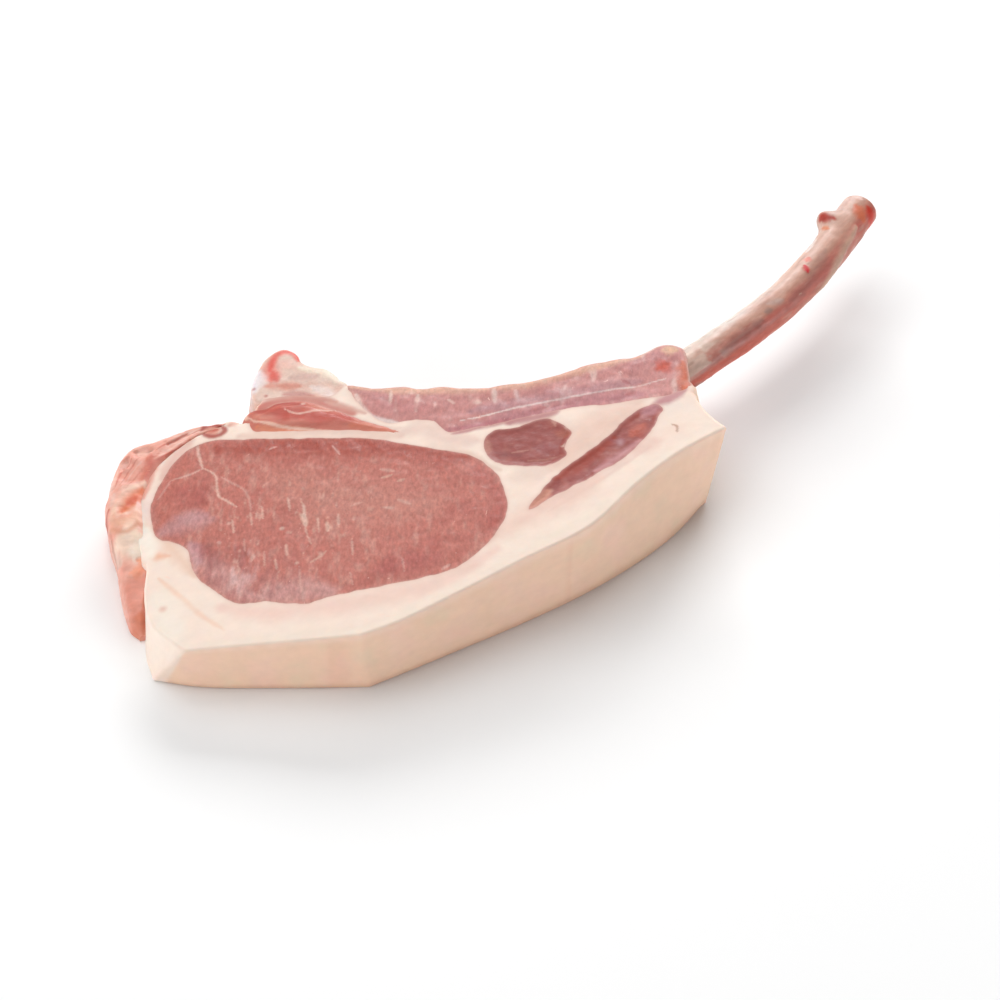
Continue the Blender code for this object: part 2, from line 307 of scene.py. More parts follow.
def mottled(base: str, mottles: tuple, places: Array) -> Array:
    """Lay mottling over an even colour.

    Args:
        base: The even colour.
        mottles: What is laid over it, in order.
        places: Points in millimetres.

    Returns:
        Linear colours.
    """
    colour = flat_colour(len(places), base)
    for mottle in mottles:
        colour = mottle.lay(colour, places)
    return colour


@dataclass(frozen=True)
class Mark:
    """A painted vein, streak or patch that follows a smooth path.

    Attributes:
        colour: Its sRGB hex colour.
        strength: How much of the colour below it hides, 0 to 1.
        width: Half its width in millimetres, less towards the ends of its path.
        path: Places in millimetres from the low corner of the piece's box.
        soft: Share of the half width over which its edge fades.
        lift: How far it raises or sinks the surface, in millimetres.
    """

    colour: str
    strength: float
    width: float
    path: tuple
    soft: float = 0.5
    lift: float = 0.0
    TAPER = 0.55              # how much narrower it is at the ends of its path
    RAGGED = 0.35             # how far its edge wanders, as a share of the half width
    PATH_STEP = 0.3           # millimetres between the samples of its path

    def mask(self, plan: Array, low: Array) -> Array:
        """Cover each place by its distance to the path, made uneven by noise.

        Args:
            plan: Places in millimetres.
            low: The corner from which the path is measured.

        Returns:
            How fully the mark covers each place, 0 to 1.
        """
        way = np.array(self.path) + low
        way = spread(smooth(way), step=self.PATH_STEP) if len(way) > 1 else way
        reach = self.width * 2.2 + 1.0
        first, last = way.min(axis=0) - reach, way.max(axis=0) + reach
        near = np.flatnonzero(((plan > first) & (plan < last)).all(axis=1))
        cover = np.zeros(len(plan))
        distance, number = nearest(plan[near], way)
        share = number / max(len(way) - 1, 1)
        narrowed = 1.0 - self.TAPER * np.abs(2.0 * share - 1.0) ** 3 if len(way) > 1 else 1.0
        seed = len(self.path) + int(self.width * 10)
        distance = distance + self.RAGGED * self.width * noise(plan[near], 1.2 + self.width, seed, 3)
        cover[near] = ramp(distance / (self.width * narrowed), 1.0 + self.soft, 1.0 - self.soft)
        return cover


def patch(colour: str, strength: float, width: float, *path: tuple, soft: float = 1.0,
          lift: float = 0.0) -> Mark:
    """Make a mark that fades over most of its width, such as a stain, lobe or streak of fat."""
    return Mark(colour, strength, width, path, soft, lift)


def vein(colour: str, strength: float, width: float, *path: tuple) -> Mark:
    """Make a mark with a crisp edge, such as a vein or a fleck of marbling."""
    return Mark(colour, strength, width, path)


def paint(colour: Array, plan: Array, low: Array, marks: tuple) -> Array:
    """Lay marks over painted colours, one after the other.

    Args:
        colour: Painted colours.
        plan: Places in plan.
        low: The corner from which the paths are measured.
        marks: The marks.

    Returns:
        The new colours.
    """
    for mark in marks:
        colour = blend(colour, mark.colour, mark.strength * mark.mask(plan, low))
    return colour


def lift(plan: Array, low: Array, marks: tuple) -> Array:
    """Add up how far the marks raise each place."""
    raised = (mark.lift * mark.mask(plan, low) for mark in marks if mark.lift)
    return sum(raised, np.zeros(len(plan)))


def grid_normals(places: Array) -> Array:
    """Unit normals of a grid of points: the cross product of its two directions."""
    normal = np.cross(np.gradient(places, axis=0), np.gradient(places, axis=1))
    return normal / np.maximum(np.linalg.norm(normal, axis=2), TINY)[..., None]


# ---------------------------------------------------------------- reading the solids

def spot(node: str, across: float, along: float) -> Array:
    """Give a plan place in millimetres as shares of a node's box, from its low corner."""
    low, high = (np.array(corner[:2]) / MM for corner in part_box(node))
    return low + (high - low) * (across, along)


def solid_mesh(node: str) -> tuple[Array, Array]:
    """Read a solid's points in millimetres and its triangles, equal points merged.

    Args:
        node: The solid.

    Returns:
        Its points and the numbers of the points of each triangle.
    """
    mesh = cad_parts[node].data
    places = np.empty(len(mesh.vertices) * 3, np.float32)
    mesh.vertices.foreach_get("co", places)
    mesh.calc_loop_triangles()
    corners = np.empty(len(mesh.loop_triangles) * 3, np.int32)
    mesh.loop_triangles.foreach_get("vertices", corners)
    merged, order = np.unique(np.round(places.reshape(-1, 3) / MM, 3), axis=0, return_inverse=True)
    triangles = order.reshape(-1)[corners].reshape(-1, 3)
    return merged, triangles


@dataclass(frozen=True)
class CutFace:
    """The upper cut face: a plane whose height is level + lean . place."""

    level: float
    lean: tuple

    @classmethod
    def of_solid(cls, node: str) -> CutFace:
        """Fit the plane to the upper points of a solid by least squares.

        Args:
            node: The solid.

        Returns:
            The fitted cut face.
        """
        places, _ = solid_mesh(node)
        upper = places[places[:, 2] > ABOVE_FLOOR]
        terms = np.column_stack([np.ones(len(upper)), upper[:, :2]])
        level, *lean = np.linalg.lstsq(terms, upper[:, 2], rcond=None)[0]
        return cls(float(level), tuple(lean))

    def height(self, plan: Array) -> Array:
        """Height of the face over plan places."""
        return self.level + plan[:, :2] @ np.array(self.lean)


def face_loop(node: str, face: CutFace | None) -> Array:
    """Read the longest outline of a solid on the upper cut face, or on the floor.

    The outline is the set of triangle edges that only one triangle of that face has.

    Args:
        node: The solid.
        face: The cut face, or None for the floor.

    Returns:
        The outline's corners in plan.
    """
    places, triangles = solid_mesh(node)
    height = places[:, 2] - (face.height(places) if face else 0.0)
    flat = triangles[(np.abs(height) < ON_FACE)[triangles].all(axis=1)]
    edges = {tuple(edge) for edge in flat[:, (0, 1, 1, 2, 2, 0)].reshape(-1, 2).tolist()}
    follow = {a: b for a, b in edges if (b, a) not in edges}
    loops = []
    while follow:
        start, place = follow.popitem()
        loop = [start]
        while place != start:
            loop.append(place)
            place = follow.pop(place)
        loops.append(places[loop, :2])
    return max(loops, key=lambda loop: np.linalg.norm(np.diff(loop, axis=0), axis=1).sum())


def stretches(loop: Array, anchors: Array) -> list[Array]:
    """Cut a loop at the points nearest to its anchors.

    Args:
        loop: A closed loop.
        anchors: Places in the order in which the loop is to be walked.

    Returns:
        One polyline from each anchor to the next, the last one back to the first.
    """
    cuts = nearest(anchors, loop)[1]
    if (cuts[1] - cuts[0]) % len(loop) > (cuts[2] - cuts[0]) % len(loop):
        loop, cuts = loop[::-1], len(loop) - 1 - cuts
    parts = []
    for start, end in zip(cuts, np.roll(cuts, -1)):
        steps = (end - start) % len(loop)
        parts.append(loop[(start + np.arange(steps + 1)) % len(loop)])
    return parts


def furthest(loop: Array, direction: tuple[float, float]) -> Array:
    """The point of a loop that reaches furthest in a direction."""
    return loop[np.argmax(loop @ np.array(direction))]


# ---------------------------------------------------------------- meshes

def make_piece(name: str, places: Array, faces: list, attributes: dict[str, Array]) -> bpy.types.Object:
    """Put worked-out points and faces into a new smooth-shaded object.

    Args:
        name: The piece's name.
        places: Points in millimetres.
        faces: Lists of point numbers.
        attributes: Values for each point, one number or a colour.

    Returns:
        The new object.
    """
    mesh = bpy.data.meshes.new(name)
    mesh.from_pydata(places * MM, [], faces)
    for key, values in attributes.items():
        if values.ndim == 2:
            layer = mesh.attributes.new(key, "FLOAT_COLOR", "POINT")
            values = np.column_stack([values * TINT_GAIN, np.ones(len(values))])
            layer.data.foreach_set("color", values.ravel())
        else:
            mesh.attributes.new(key, "FLOAT", "POINT").data.foreach_set("value", values)
    mesh.shade_smooth()
    mesh.set_sharp_from_angle(angle=math.radians(SHARP_EDGE))
    mesh.update()
    piece = bpy.data.objects.new(name, mesh)
    bpy.context.scene.collection.objects.link(piece)
    return piece


def tube_faces(rows: int, around: int) -> list:
    """Faces of a closed tube of equal rings with a fan of one polygon at each end.

    Args:
        rows: How many rings.
        around: Points in a ring.

    Returns:
        Lists of point numbers.
    """
    number = np.arange(rows * around).reshape(rows, around)
    beside = np.roll(number, -1, axis=1)
    quads = np.stack([number[:-1], beside[:-1], beside[1:], number[1:]], axis=-1).reshape(-1, 4)
    return quads.tolist() + [number[0, ::-1].tolist(), number[-1].tolist()]


# ---------------------------------------------------------------- materials

def add_node(
    tree: bpy.types.NodeTree, kind: str, links: dict | None = None, **settings: object
) -> bpy.types.Node:
    """Add a node, set its values and link its inputs.

    Args:
        tree: The material's node tree.
        kind: The node's type name.
        links: Input name or number to the socket that feeds it, or to a plain value.
        settings: The node's own properties.

    Returns:
        The node.
    """
    node = tree.nodes.new(kind)
    for key, value in settings.items():
        setattr(node, key, value)
    for key, value in (links or {}).items():
        if isinstance(value, bpy.types.NodeSocket):
            tree.links.new(value, node.inputs[key])
        else:
            node.inputs[key].default_value = value
    return node


@dataclass(frozen=True)
class RawTissue:
    """Finish of raw meat, fat or bone: painted colour, grain, flecks and a moist surface.

    Attributes:
        name: What the tissue is.
        grain: Width of the mottling in millimetres.
        contrast: How far the mottling darkens and lightens the painted colour.
        fibre: How much longer than wide the grain is, along fibre_turn.
        fibre_turn: Direction of the fibres in degrees, from +X.
        fleck: Colour of the flecks of fat or blood in it.
        fleck_size: Their width in millimetres.
        fleck_share: How much of the surface they take, 0 to 1.
        roughness: Lowest and highest roughness.
        relief: Height of the fine bumps in millimetres.
        glow: Subsurface weight.
        glow_radius: How far light spreads below the surface, in millimetres.
        coat: Weight of the film of moisture.
    """

    name: str
    grain: float
    contrast: float
    fibre: float
    fibre_turn: float
    fleck: str
    fleck_size: float
    fleck_share: float
    roughness: tuple
    relief: float
    glow: float
    glow_radius: float
    coat: float

    def material(self) -> bpy.types.Material:
        """Build the node material: painted tint x grain, then flecks, roughness and bumps.

        Returns:
            The material.
        """
        made = bpy.data.materials.new(self.name)
        made.use_nodes = True
        tree = made.node_tree
        shader = tree.nodes["Principled BSDF"]
        place = add_node(tree, "ShaderNodeTexCoord").outputs["Object"]
        turned = add_node(tree, "ShaderNodeMapping", {
            "Vector": place,
            "Rotation": (0.0, 0.0, math.radians(self.fibre_turn)),
            "Scale": (self.fibre, 1.0, 1.0)}, vector_type="TEXTURE").outputs[0]
        tint = add_node(tree, "ShaderNodeAttribute", attribute_name="tint").outputs["Color"]
        thick = add_node(tree, "ShaderNodeAttribute", attribute_name="inner").outputs["Fac"]

        grain = add_node(tree, "ShaderNodeTexNoise", {
            "Vector": turned, "Scale": 1.0 / (self.grain * MM), "Detail": 5.0,
            "Roughness": 0.62}).outputs["Fac"]
        swing = add_node(tree, "ShaderNodeMapRange", {
            "Value": grain, "From Min": 0.3, "From Max": 0.7,
            "To Min": 1.0 - self.contrast, "To Max": 1.0 + self.contrast * 0.8}).outputs["Result"]
        mottled = add_node(tree, "ShaderNodeVectorMath", {0: tint, "Scale": swing},
                           operation="SCALE").outputs[0]

        flecks = add_node(tree, "ShaderNodeTexNoise", {
            "Vector": turned, "Scale": 1.0 / (self.fleck_size * MM), "Detail": 3.0, "Roughness": 0.7,
            "Distortion": 0.6}).outputs["Fac"]
        edge = 0.72 - 0.22 * self.fleck_share
        fleck_mask = add_node(tree, "ShaderNodeMapRange", {
            "Value": flecks, "From Min": edge, "From Max": edge + 0.1,
            "To Min": 0.0, "To Max": 0.75}, interpolation_type="SMOOTHSTEP").outputs["Result"]
        colour = add_node(tree, "ShaderNodeMix", {
            "Factor": fleck_mask, 6: mottled, 7: (*linear(self.fleck), 1.0)}, data_type="RGBA").outputs[2]
        tree.links.new(colour, shader.inputs["Base Color"])

        damp = add_node(tree, "ShaderNodeTexNoise", {
            "Vector": place, "Scale": 1.0 / (2.8 * MM), "Detail": 4.0, "Roughness": 0.6}).outputs["Fac"]
        roughness = add_node(tree, "ShaderNodeMapRange", {
            "Value": damp, "From Min": 0.35, "From Max": 0.65,
            "To Min": self.roughness[0], "To Max": self.roughness[1]}).outputs["Result"]
        tree.links.new(roughness, shader.inputs["Roughness"])

        bump = add_node(tree, "ShaderNodeBump", {
            "Height": grain, "Distance": self.relief * MM, "Strength": 1.0}).outputs[0]
        tree.links.new(bump, shader.inputs["Normal"])
        glow = add_node(tree, "ShaderNodeMath", {0: thick, 1: self.glow}, operation="MULTIPLY").outputs[0]
        tree.links.new(glow, shader.inputs["Subsurface Weight"])
        shader.inputs["Subsurface Radius"].default_value = (1.0, 0.45, 0.3)
        shader.inputs["Subsurface Scale"].default_value = self.glow_radius * MM
        shader.inputs["IOR"].default_value = 1.4
        shader.inputs["Specular IOR Level"].default_value = 0.25
        shader.inputs["Coat Weight"].default_value = self.coat
        shader.inputs["Coat Roughness"].default_value = 0.22
        return made


class Finishes:
    """The finishes of the chop."""

    # Back fat is smooth and waxy: hardly any grain, deep soft glow.
    back_fat = RawTissue(
        "raw_back_fat", grain=3.2, contrast=0.035, fibre=1.6, fibre_turn=25.0, fleck="f2cdb9",
        fleck_size=5.0, fleck_share=0.12, roughness=(0.42, 0.6), relief=0.05, glow=0.35, glow_radius=1.6,
        coat=0.03)
    # Loin lean shows cut fibre ends as fine mottling, with specks of marbling fat.
    loin_lean = RawTissue(
        "raw_loin_lean", grain=1.0, contrast=0.22, fibre=1.7, fibre_turn=88.0, fleck="e2b3a6",
        fleck_size=1.5, fleck_share=0.22, roughness=(0.34, 0.55), relief=0.1, glow=0.25, glow_radius=0.9,
        coat=0.05)
    # Dark lean has little fat and looks wetter.
    dark_lean = RawTissue(
        "raw_dark_lean", grain=1.3, contrast=0.12, fibre=1.4, fibre_turn=20.0, fleck="c58f88",
        fleck_size=1.8, fleck_share=0.12, roughness=(0.32, 0.5), relief=0.12, glow=0.2, glow_radius=0.8,
        coat=0.06)
    # Rib meat is pale pink and streaky.
    rib_meat = RawTissue(
        "raw_rib_meat", grain=1.2, contrast=0.17, fibre=1.6, fibre_turn=80.0, fleck="edc8ba",
        fleck_size=2.0, fleck_share=0.25, roughness=(0.34, 0.55), relief=0.14, glow=0.25, glow_radius=1.0,
        coat=0.06)
    # Folded lean is smooth, tight and bright.
    folded_lean = RawTissue(
        "raw_folded_lean", grain=1.8, contrast=0.1, fibre=2.4, fibre_turn=0.0, fleck="eab7a0",
        fleck_size=2.4, fleck_share=0.15, roughness=(0.3, 0.5), relief=0.12, glow=0.3, glow_radius=1.2,
        coat=0.08)
    # Sawn bone is chalky pink with gritty pores.
    sawn_bone = RawTissue(
        "sawn_bone_and_cartilage", grain=1.0, contrast=0.07, fibre=1.0, fibre_turn=0.0, fleck="d99a8a",
        fleck_size=1.4, fleck_share=0.15, roughness=(0.4, 0.6), relief=0.12, glow=0.3, glow_radius=1.2,
        coat=0.1)
    # A scraped rib keeps a thin bloody film with ivory showing through.
    scraped_bone = RawTissue(
        "scraped_rib_bone", grain=1.4, contrast=0.12, fibre=3.0, fibre_turn=47.0, fleck="d8c2ae",
        fleck_size=2.2, fleck_share=0.12, roughness=(0.3, 0.52), relief=0.12, glow=0.15, glow_radius=0.8,
        coat=0.08)


def dress(piece: bpy.types.Object, finish: RawTissue, node: str) -> bpy.types.Object:
    """Give a piece its material, hang it under the root body and hide the solid that it stands for.

    Args:
        piece: The new object.
        finish: Its material's recipe.
        node: The solid that it replaces.

    Returns:
        The same object.
    """
    piece.data.materials.append(finish.material())
    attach(piece, "root")
    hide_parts(node)
    log.info("%s: %d faces", piece.name, len(piece.data.polygons))
    return piece


# ---------------------------------------------------------------- the tissues of the slice

@dataclass
class SliceTissue:
    """One piece of the slice: its rim, relief and painted colour.

    Attributes:
        tissue: Which piece it is.
        finish: Its material's recipe.
        slot: Not used.
        fray: How far its outline wanders, in millimetres.
        rim: Radius of the rounding of its free side.
        wobble: Height of the relief of its free side.
        lumps: How far a side that faces the back swells in long lumps; 0 frays it like a seam.
        crown: Height of its middle over its edge, and the distance over which it rises.
        waves: Layers of relief, each as height, width, seed and octaves.
        wave_edge: Distance from its edge over which the relief sets in.
        base: Its even colour.
        mottles: What varies that colour.
        marks: What is painted over both, from the low corner of the solid's box.
        edge: Colour along a seam, its strength, and the distance over which it fades.
    """

    tissue: Tissue
    finish: RawTissue
    slot: str
    fray: float = 0.25
    rim: float = 0.8
    wobble: float = 0.15
    lumps: float = 0.0
    crown = (0.0, 1.0)
    waves = ()
    wave_edge = 1.5
    base = "ffffff"
    mottles = ()
    marks = ()
    edge = ("ffffff", 0.0, 1.0)

    @property
    def node(self) -> str:
        """Name of the solid."""
        return self.tissue.value

    def low(self) -> Array:
        """Low corner of the solid's box in plan, in millimetres."""
        return spot(self.node, 0.0, 0.0)

    def high(self) -> Array:
        """High corner of the solid's box in plan, in millimetres."""
        return spot(self.node, 1.0, 1.0)

    def relief(self, plan: Array, depth: Array) -> Array:
        """Height over the cut face; 0 at the piece's edge, where depth is 0.

        Args:
            plan: Places in plan.
            depth: Their distance from the piece's edge.

        Returns:
            Crown and waves, both set in from the edge.
        """
        waves = sum(height * noise(plan, *shape) for height, *shape in self.waves)
        height, reach = self.crown
        return height * ramp(depth, 0.0, reach) + waves * ramp(depth, 0.0, self.wave_edge)

    def tint(self, places: Array, level: Array, side: Array, seam: Array) -> Array:
        """Paint the colour at each point: mottling, then marks, then the edge of the seams.

        Args:
            places: Points in millimetres.
            level: Height as a share of the cut face's height there.
            side: 1 on the free sides, 0 on the faces.
            seam: Distance in plan from the nearest neighbour, in millimetres.

        Returns:
            Linear colours.
        """
        colour = mottled(self.base, self.mottles, places)
        colour = paint(colour, places[:, :2], self.low(), self.marks)
        code, strength, reach = self.edge
        return blend(colour, code, strength * np.exp(-seam / reach))


class BackFat(SliceTissue):
    """The cap of back fat and the seams that reach in between the muscles."""

    waves = ((0.16, 16.0, 11, 2), (0.05, 4.0, 12, 1))     # long soft waves
    wave_edge = 2.5
    base = "fde8d9"
    mottles = (Mottle("f7dacb", 0.5, 7.0, 21, (0.0, 0.7), stretch=(0.35, 1.0, 1.0)),)
    edge = ("dfae9f", 0.55, 0.45)
    # A pinker inner layer, stains where lean shines through, and the red seam at the backbone.
    marks = (
        patch("f6d3c5", 0.8, 3.2, (25.4, 13.9), (36.9, 10.9), (53.7, 11.6), (71.7, 14.5), (84.6, 17.9),
              (96.7, 26.8)),
        patch("f8d2ba", 0.7, 0.7, (7.4, 26.3), (15.1, 17.7), (19.2, 12.8), (26.6, 6.2)),
        patch("fbe9d9", 0.8, 1.6, (17.1, 1.8), (46.5, 2.1), (64.9, 2.9), (79.5, 10.9), (102.7, 24.7),
              (126.5, 41.1), (145.7, 59.0), (157.3, 65.6), soft=0.8),
        patch("fdf0e2", 0.8, 5.0, (8.2, 18.5), (13.3, 4.2)),
        patch("f2d2c6", 0.7, 1.2, (102.7, 35.8), (118.7, 47.1), (135.0, 58.0), soft=0.9),
        patch("eccabc", 0.6, 0.6, (110.1, 38.6), (124.1, 48.7), (138.3, 59.9), soft=0.9),
        patch("f1d9cb", 0.8, 3.4, (100.7, 52.2), (109.5, 54.2), soft=0.9),
        patch("efd2c5", 0.9, 3.2, (71.4, 73.5), (76.8, 74.7), (83.8, 68.8), (91.2, 67.9), soft=0.9),
        patch("e9cbb9", 0.7, 1.0, (81.2, 64.5), (89.4, 62.7), (94.0, 57.9), (97.5, 55.6), soft=0.9),
        patch("efcebe", 0.95, 5.2, (112.5, 56.9), (121.9, 65.7), (129.6, 71.8), (135.8, 76.9)),
        vein("bd8b72", 0.8, 0.4, (144.0, 67.6), (145.3, 66.7), (145.2, 64.4)),
        patch("e8b09f", 0.6, 0.9, (9.8, 15.2)),
        patch("fae8db", 0.8, 2.6, (139.7, 72.9), (146.6, 75.1), (150.3, 73.1)),
        patch("c4868b", 0.92, 2.0, (139.6, 75.6), (141.8, 76.9), (145.2, 78.9), (148.0, 80.9), soft=0.7),
        patch("f4b797", 0.8, 1.2, (4.4, 34.1), (9.3, 34.0)),
        patch("e9bdb0", 0.8, 1.6, (11.7, 77.6), (6.8, 69.9), (4.7, 63.6)),
        patch("e6c0b0", 0.55, 1.9, (25.2, 77.5), (42.1, 76.3), (56.1, 74.9), (70.0, 72.0)),
        patch("efc4ab", 0.6, 2.0, (3.0, 47.9), (8.9, 38.0), (17.2, 26.3)),
        patch("cb7266", 0.92, 2.6, (28.4, 87.6), (34.2, 89.3), (41.3, 89.2), (50.0, 86.1), (56.3, 82.9),
              soft=0.8),
        patch("cf8d80", 0.8, 1.3, (30.4, 92.2), (36.9, 92.6), (45.5, 90.7), (51.3, 87.9)),
        patch("dba89a", 0.8, 1.0, (48.7, 88.3), (54.2, 85.5), (59.9, 82.4)),
        patch("efd3c6", 0.8, 1.2, (42.1, 76.7), (56.1, 75.3), (69.9, 75.2)),
        patch("b9777b", 0.9, 2.0, (99.7, 73.5), (105.7, 75.1), (113.4, 76.9), soft=0.7),
        patch("e9a494", 0.9, 1.2, (10.5, 78.9), (5.8, 75.1), (2.4, 69.7), (1.1, 63.2), (0.1, 56.5),
              soft=0.7),
        patch("fff3e6", 0.9, 2.6, (2.3, 44.2), (3.4, 38.6), (4.4, 34.5)),
        patch("ffe6dc", 0.9, 1.8, (2.0, 57.4), (2.2, 52.4), (3.1, 46.4)),
        patch("e59a86", 0.9, 2.4, (15.4, 80.7), (19.1, 80.7), soft=0.7),
        patch("b04a40", 0.9, 0.8, (14.3, 80.5), (15.5, 79.1), (17.6, 78.3), (19.8, 78.8), (20.8, 80.5),
              (19.5, 82.2), soft=0.8),
        patch("c4503f", 0.85, 0.9, (15.6, 81.1), (18.5, 81.1), soft=0.9),
        patch("dfa08e", 0.8, 1.3, (22.0, 82.3), (24.9, 84.8)),
        patch("f2cfc0", 0.75, 3.4, (92.3, 29.4), (102.7, 36.5), (113.4, 42.6), (124.1, 49.5)),
        patch("b9787b", 0.9, 1.0, (84.3, 71.1), (92.0, 72.9), (98.9, 74.4), (105.7, 75.5), soft=0.8),
        patch("f0cdbf", 0.8, 2.6, (134.0, 58.9), (140.5, 61.9)),
    )
    side_base = "fed9bf"
    side_mottles = (Mottle("ffd7c3", 0.7, 9.0, 22), Mottle("f5dabe", 0.6, 9.0, 22, (-0.1, -0.6)))
    side_marks = (
        patch("f4b59c", 0.22, 3.2, (54.0, 0.0), (56.5, 1.0)),
        patch("f0ab95", 0.35, 2.0, (116.5, 26.0), (118.5, 28.0)),
        patch("f3b8a2", 0.4, 2.2, (84.0, 3.0), (88.0, 6.0)),
    )
    cut_corners = (-82.4, -89.1)      # where skin side and cut side meet, above and below

    def tint(self, places: Array, level: Array, side: Array, seam: Array) -> Array:
        """Cream on the cut face; the side is peach, with a pinker band of painted highlight at the top
        and painted shade at its foot.

        Takes and gives what SliceTissue.tint does.
        """
        top = super().tint(places, level, side, seam)
        wall = mottled(self.side_base, self.side_mottles, places)
        wall = paint(wall, places[:, :2], self.low(), self.side_marks)
        # painted highlight: the top band of the side is pinker and lighter where it rounds over to the
        # cut face
        wall = blend(wall, "ffdfca", 0.9 * ramp(level, 0.85, 0.97))
        # painted shade: the side darkens towards its foot, next to the floor
        wall = blend(wall, "dfb195", 0.8 * ramp(level, 0.14, 0.0))
        top_corner, low_corner = self.cut_corners
        corner = low_corner + (top_corner - low_corner) * level
        side = side * ramp(places[:, 0], corner - 0.8, corner + 0.8)
        return top + (wall - top) * side[:, None]


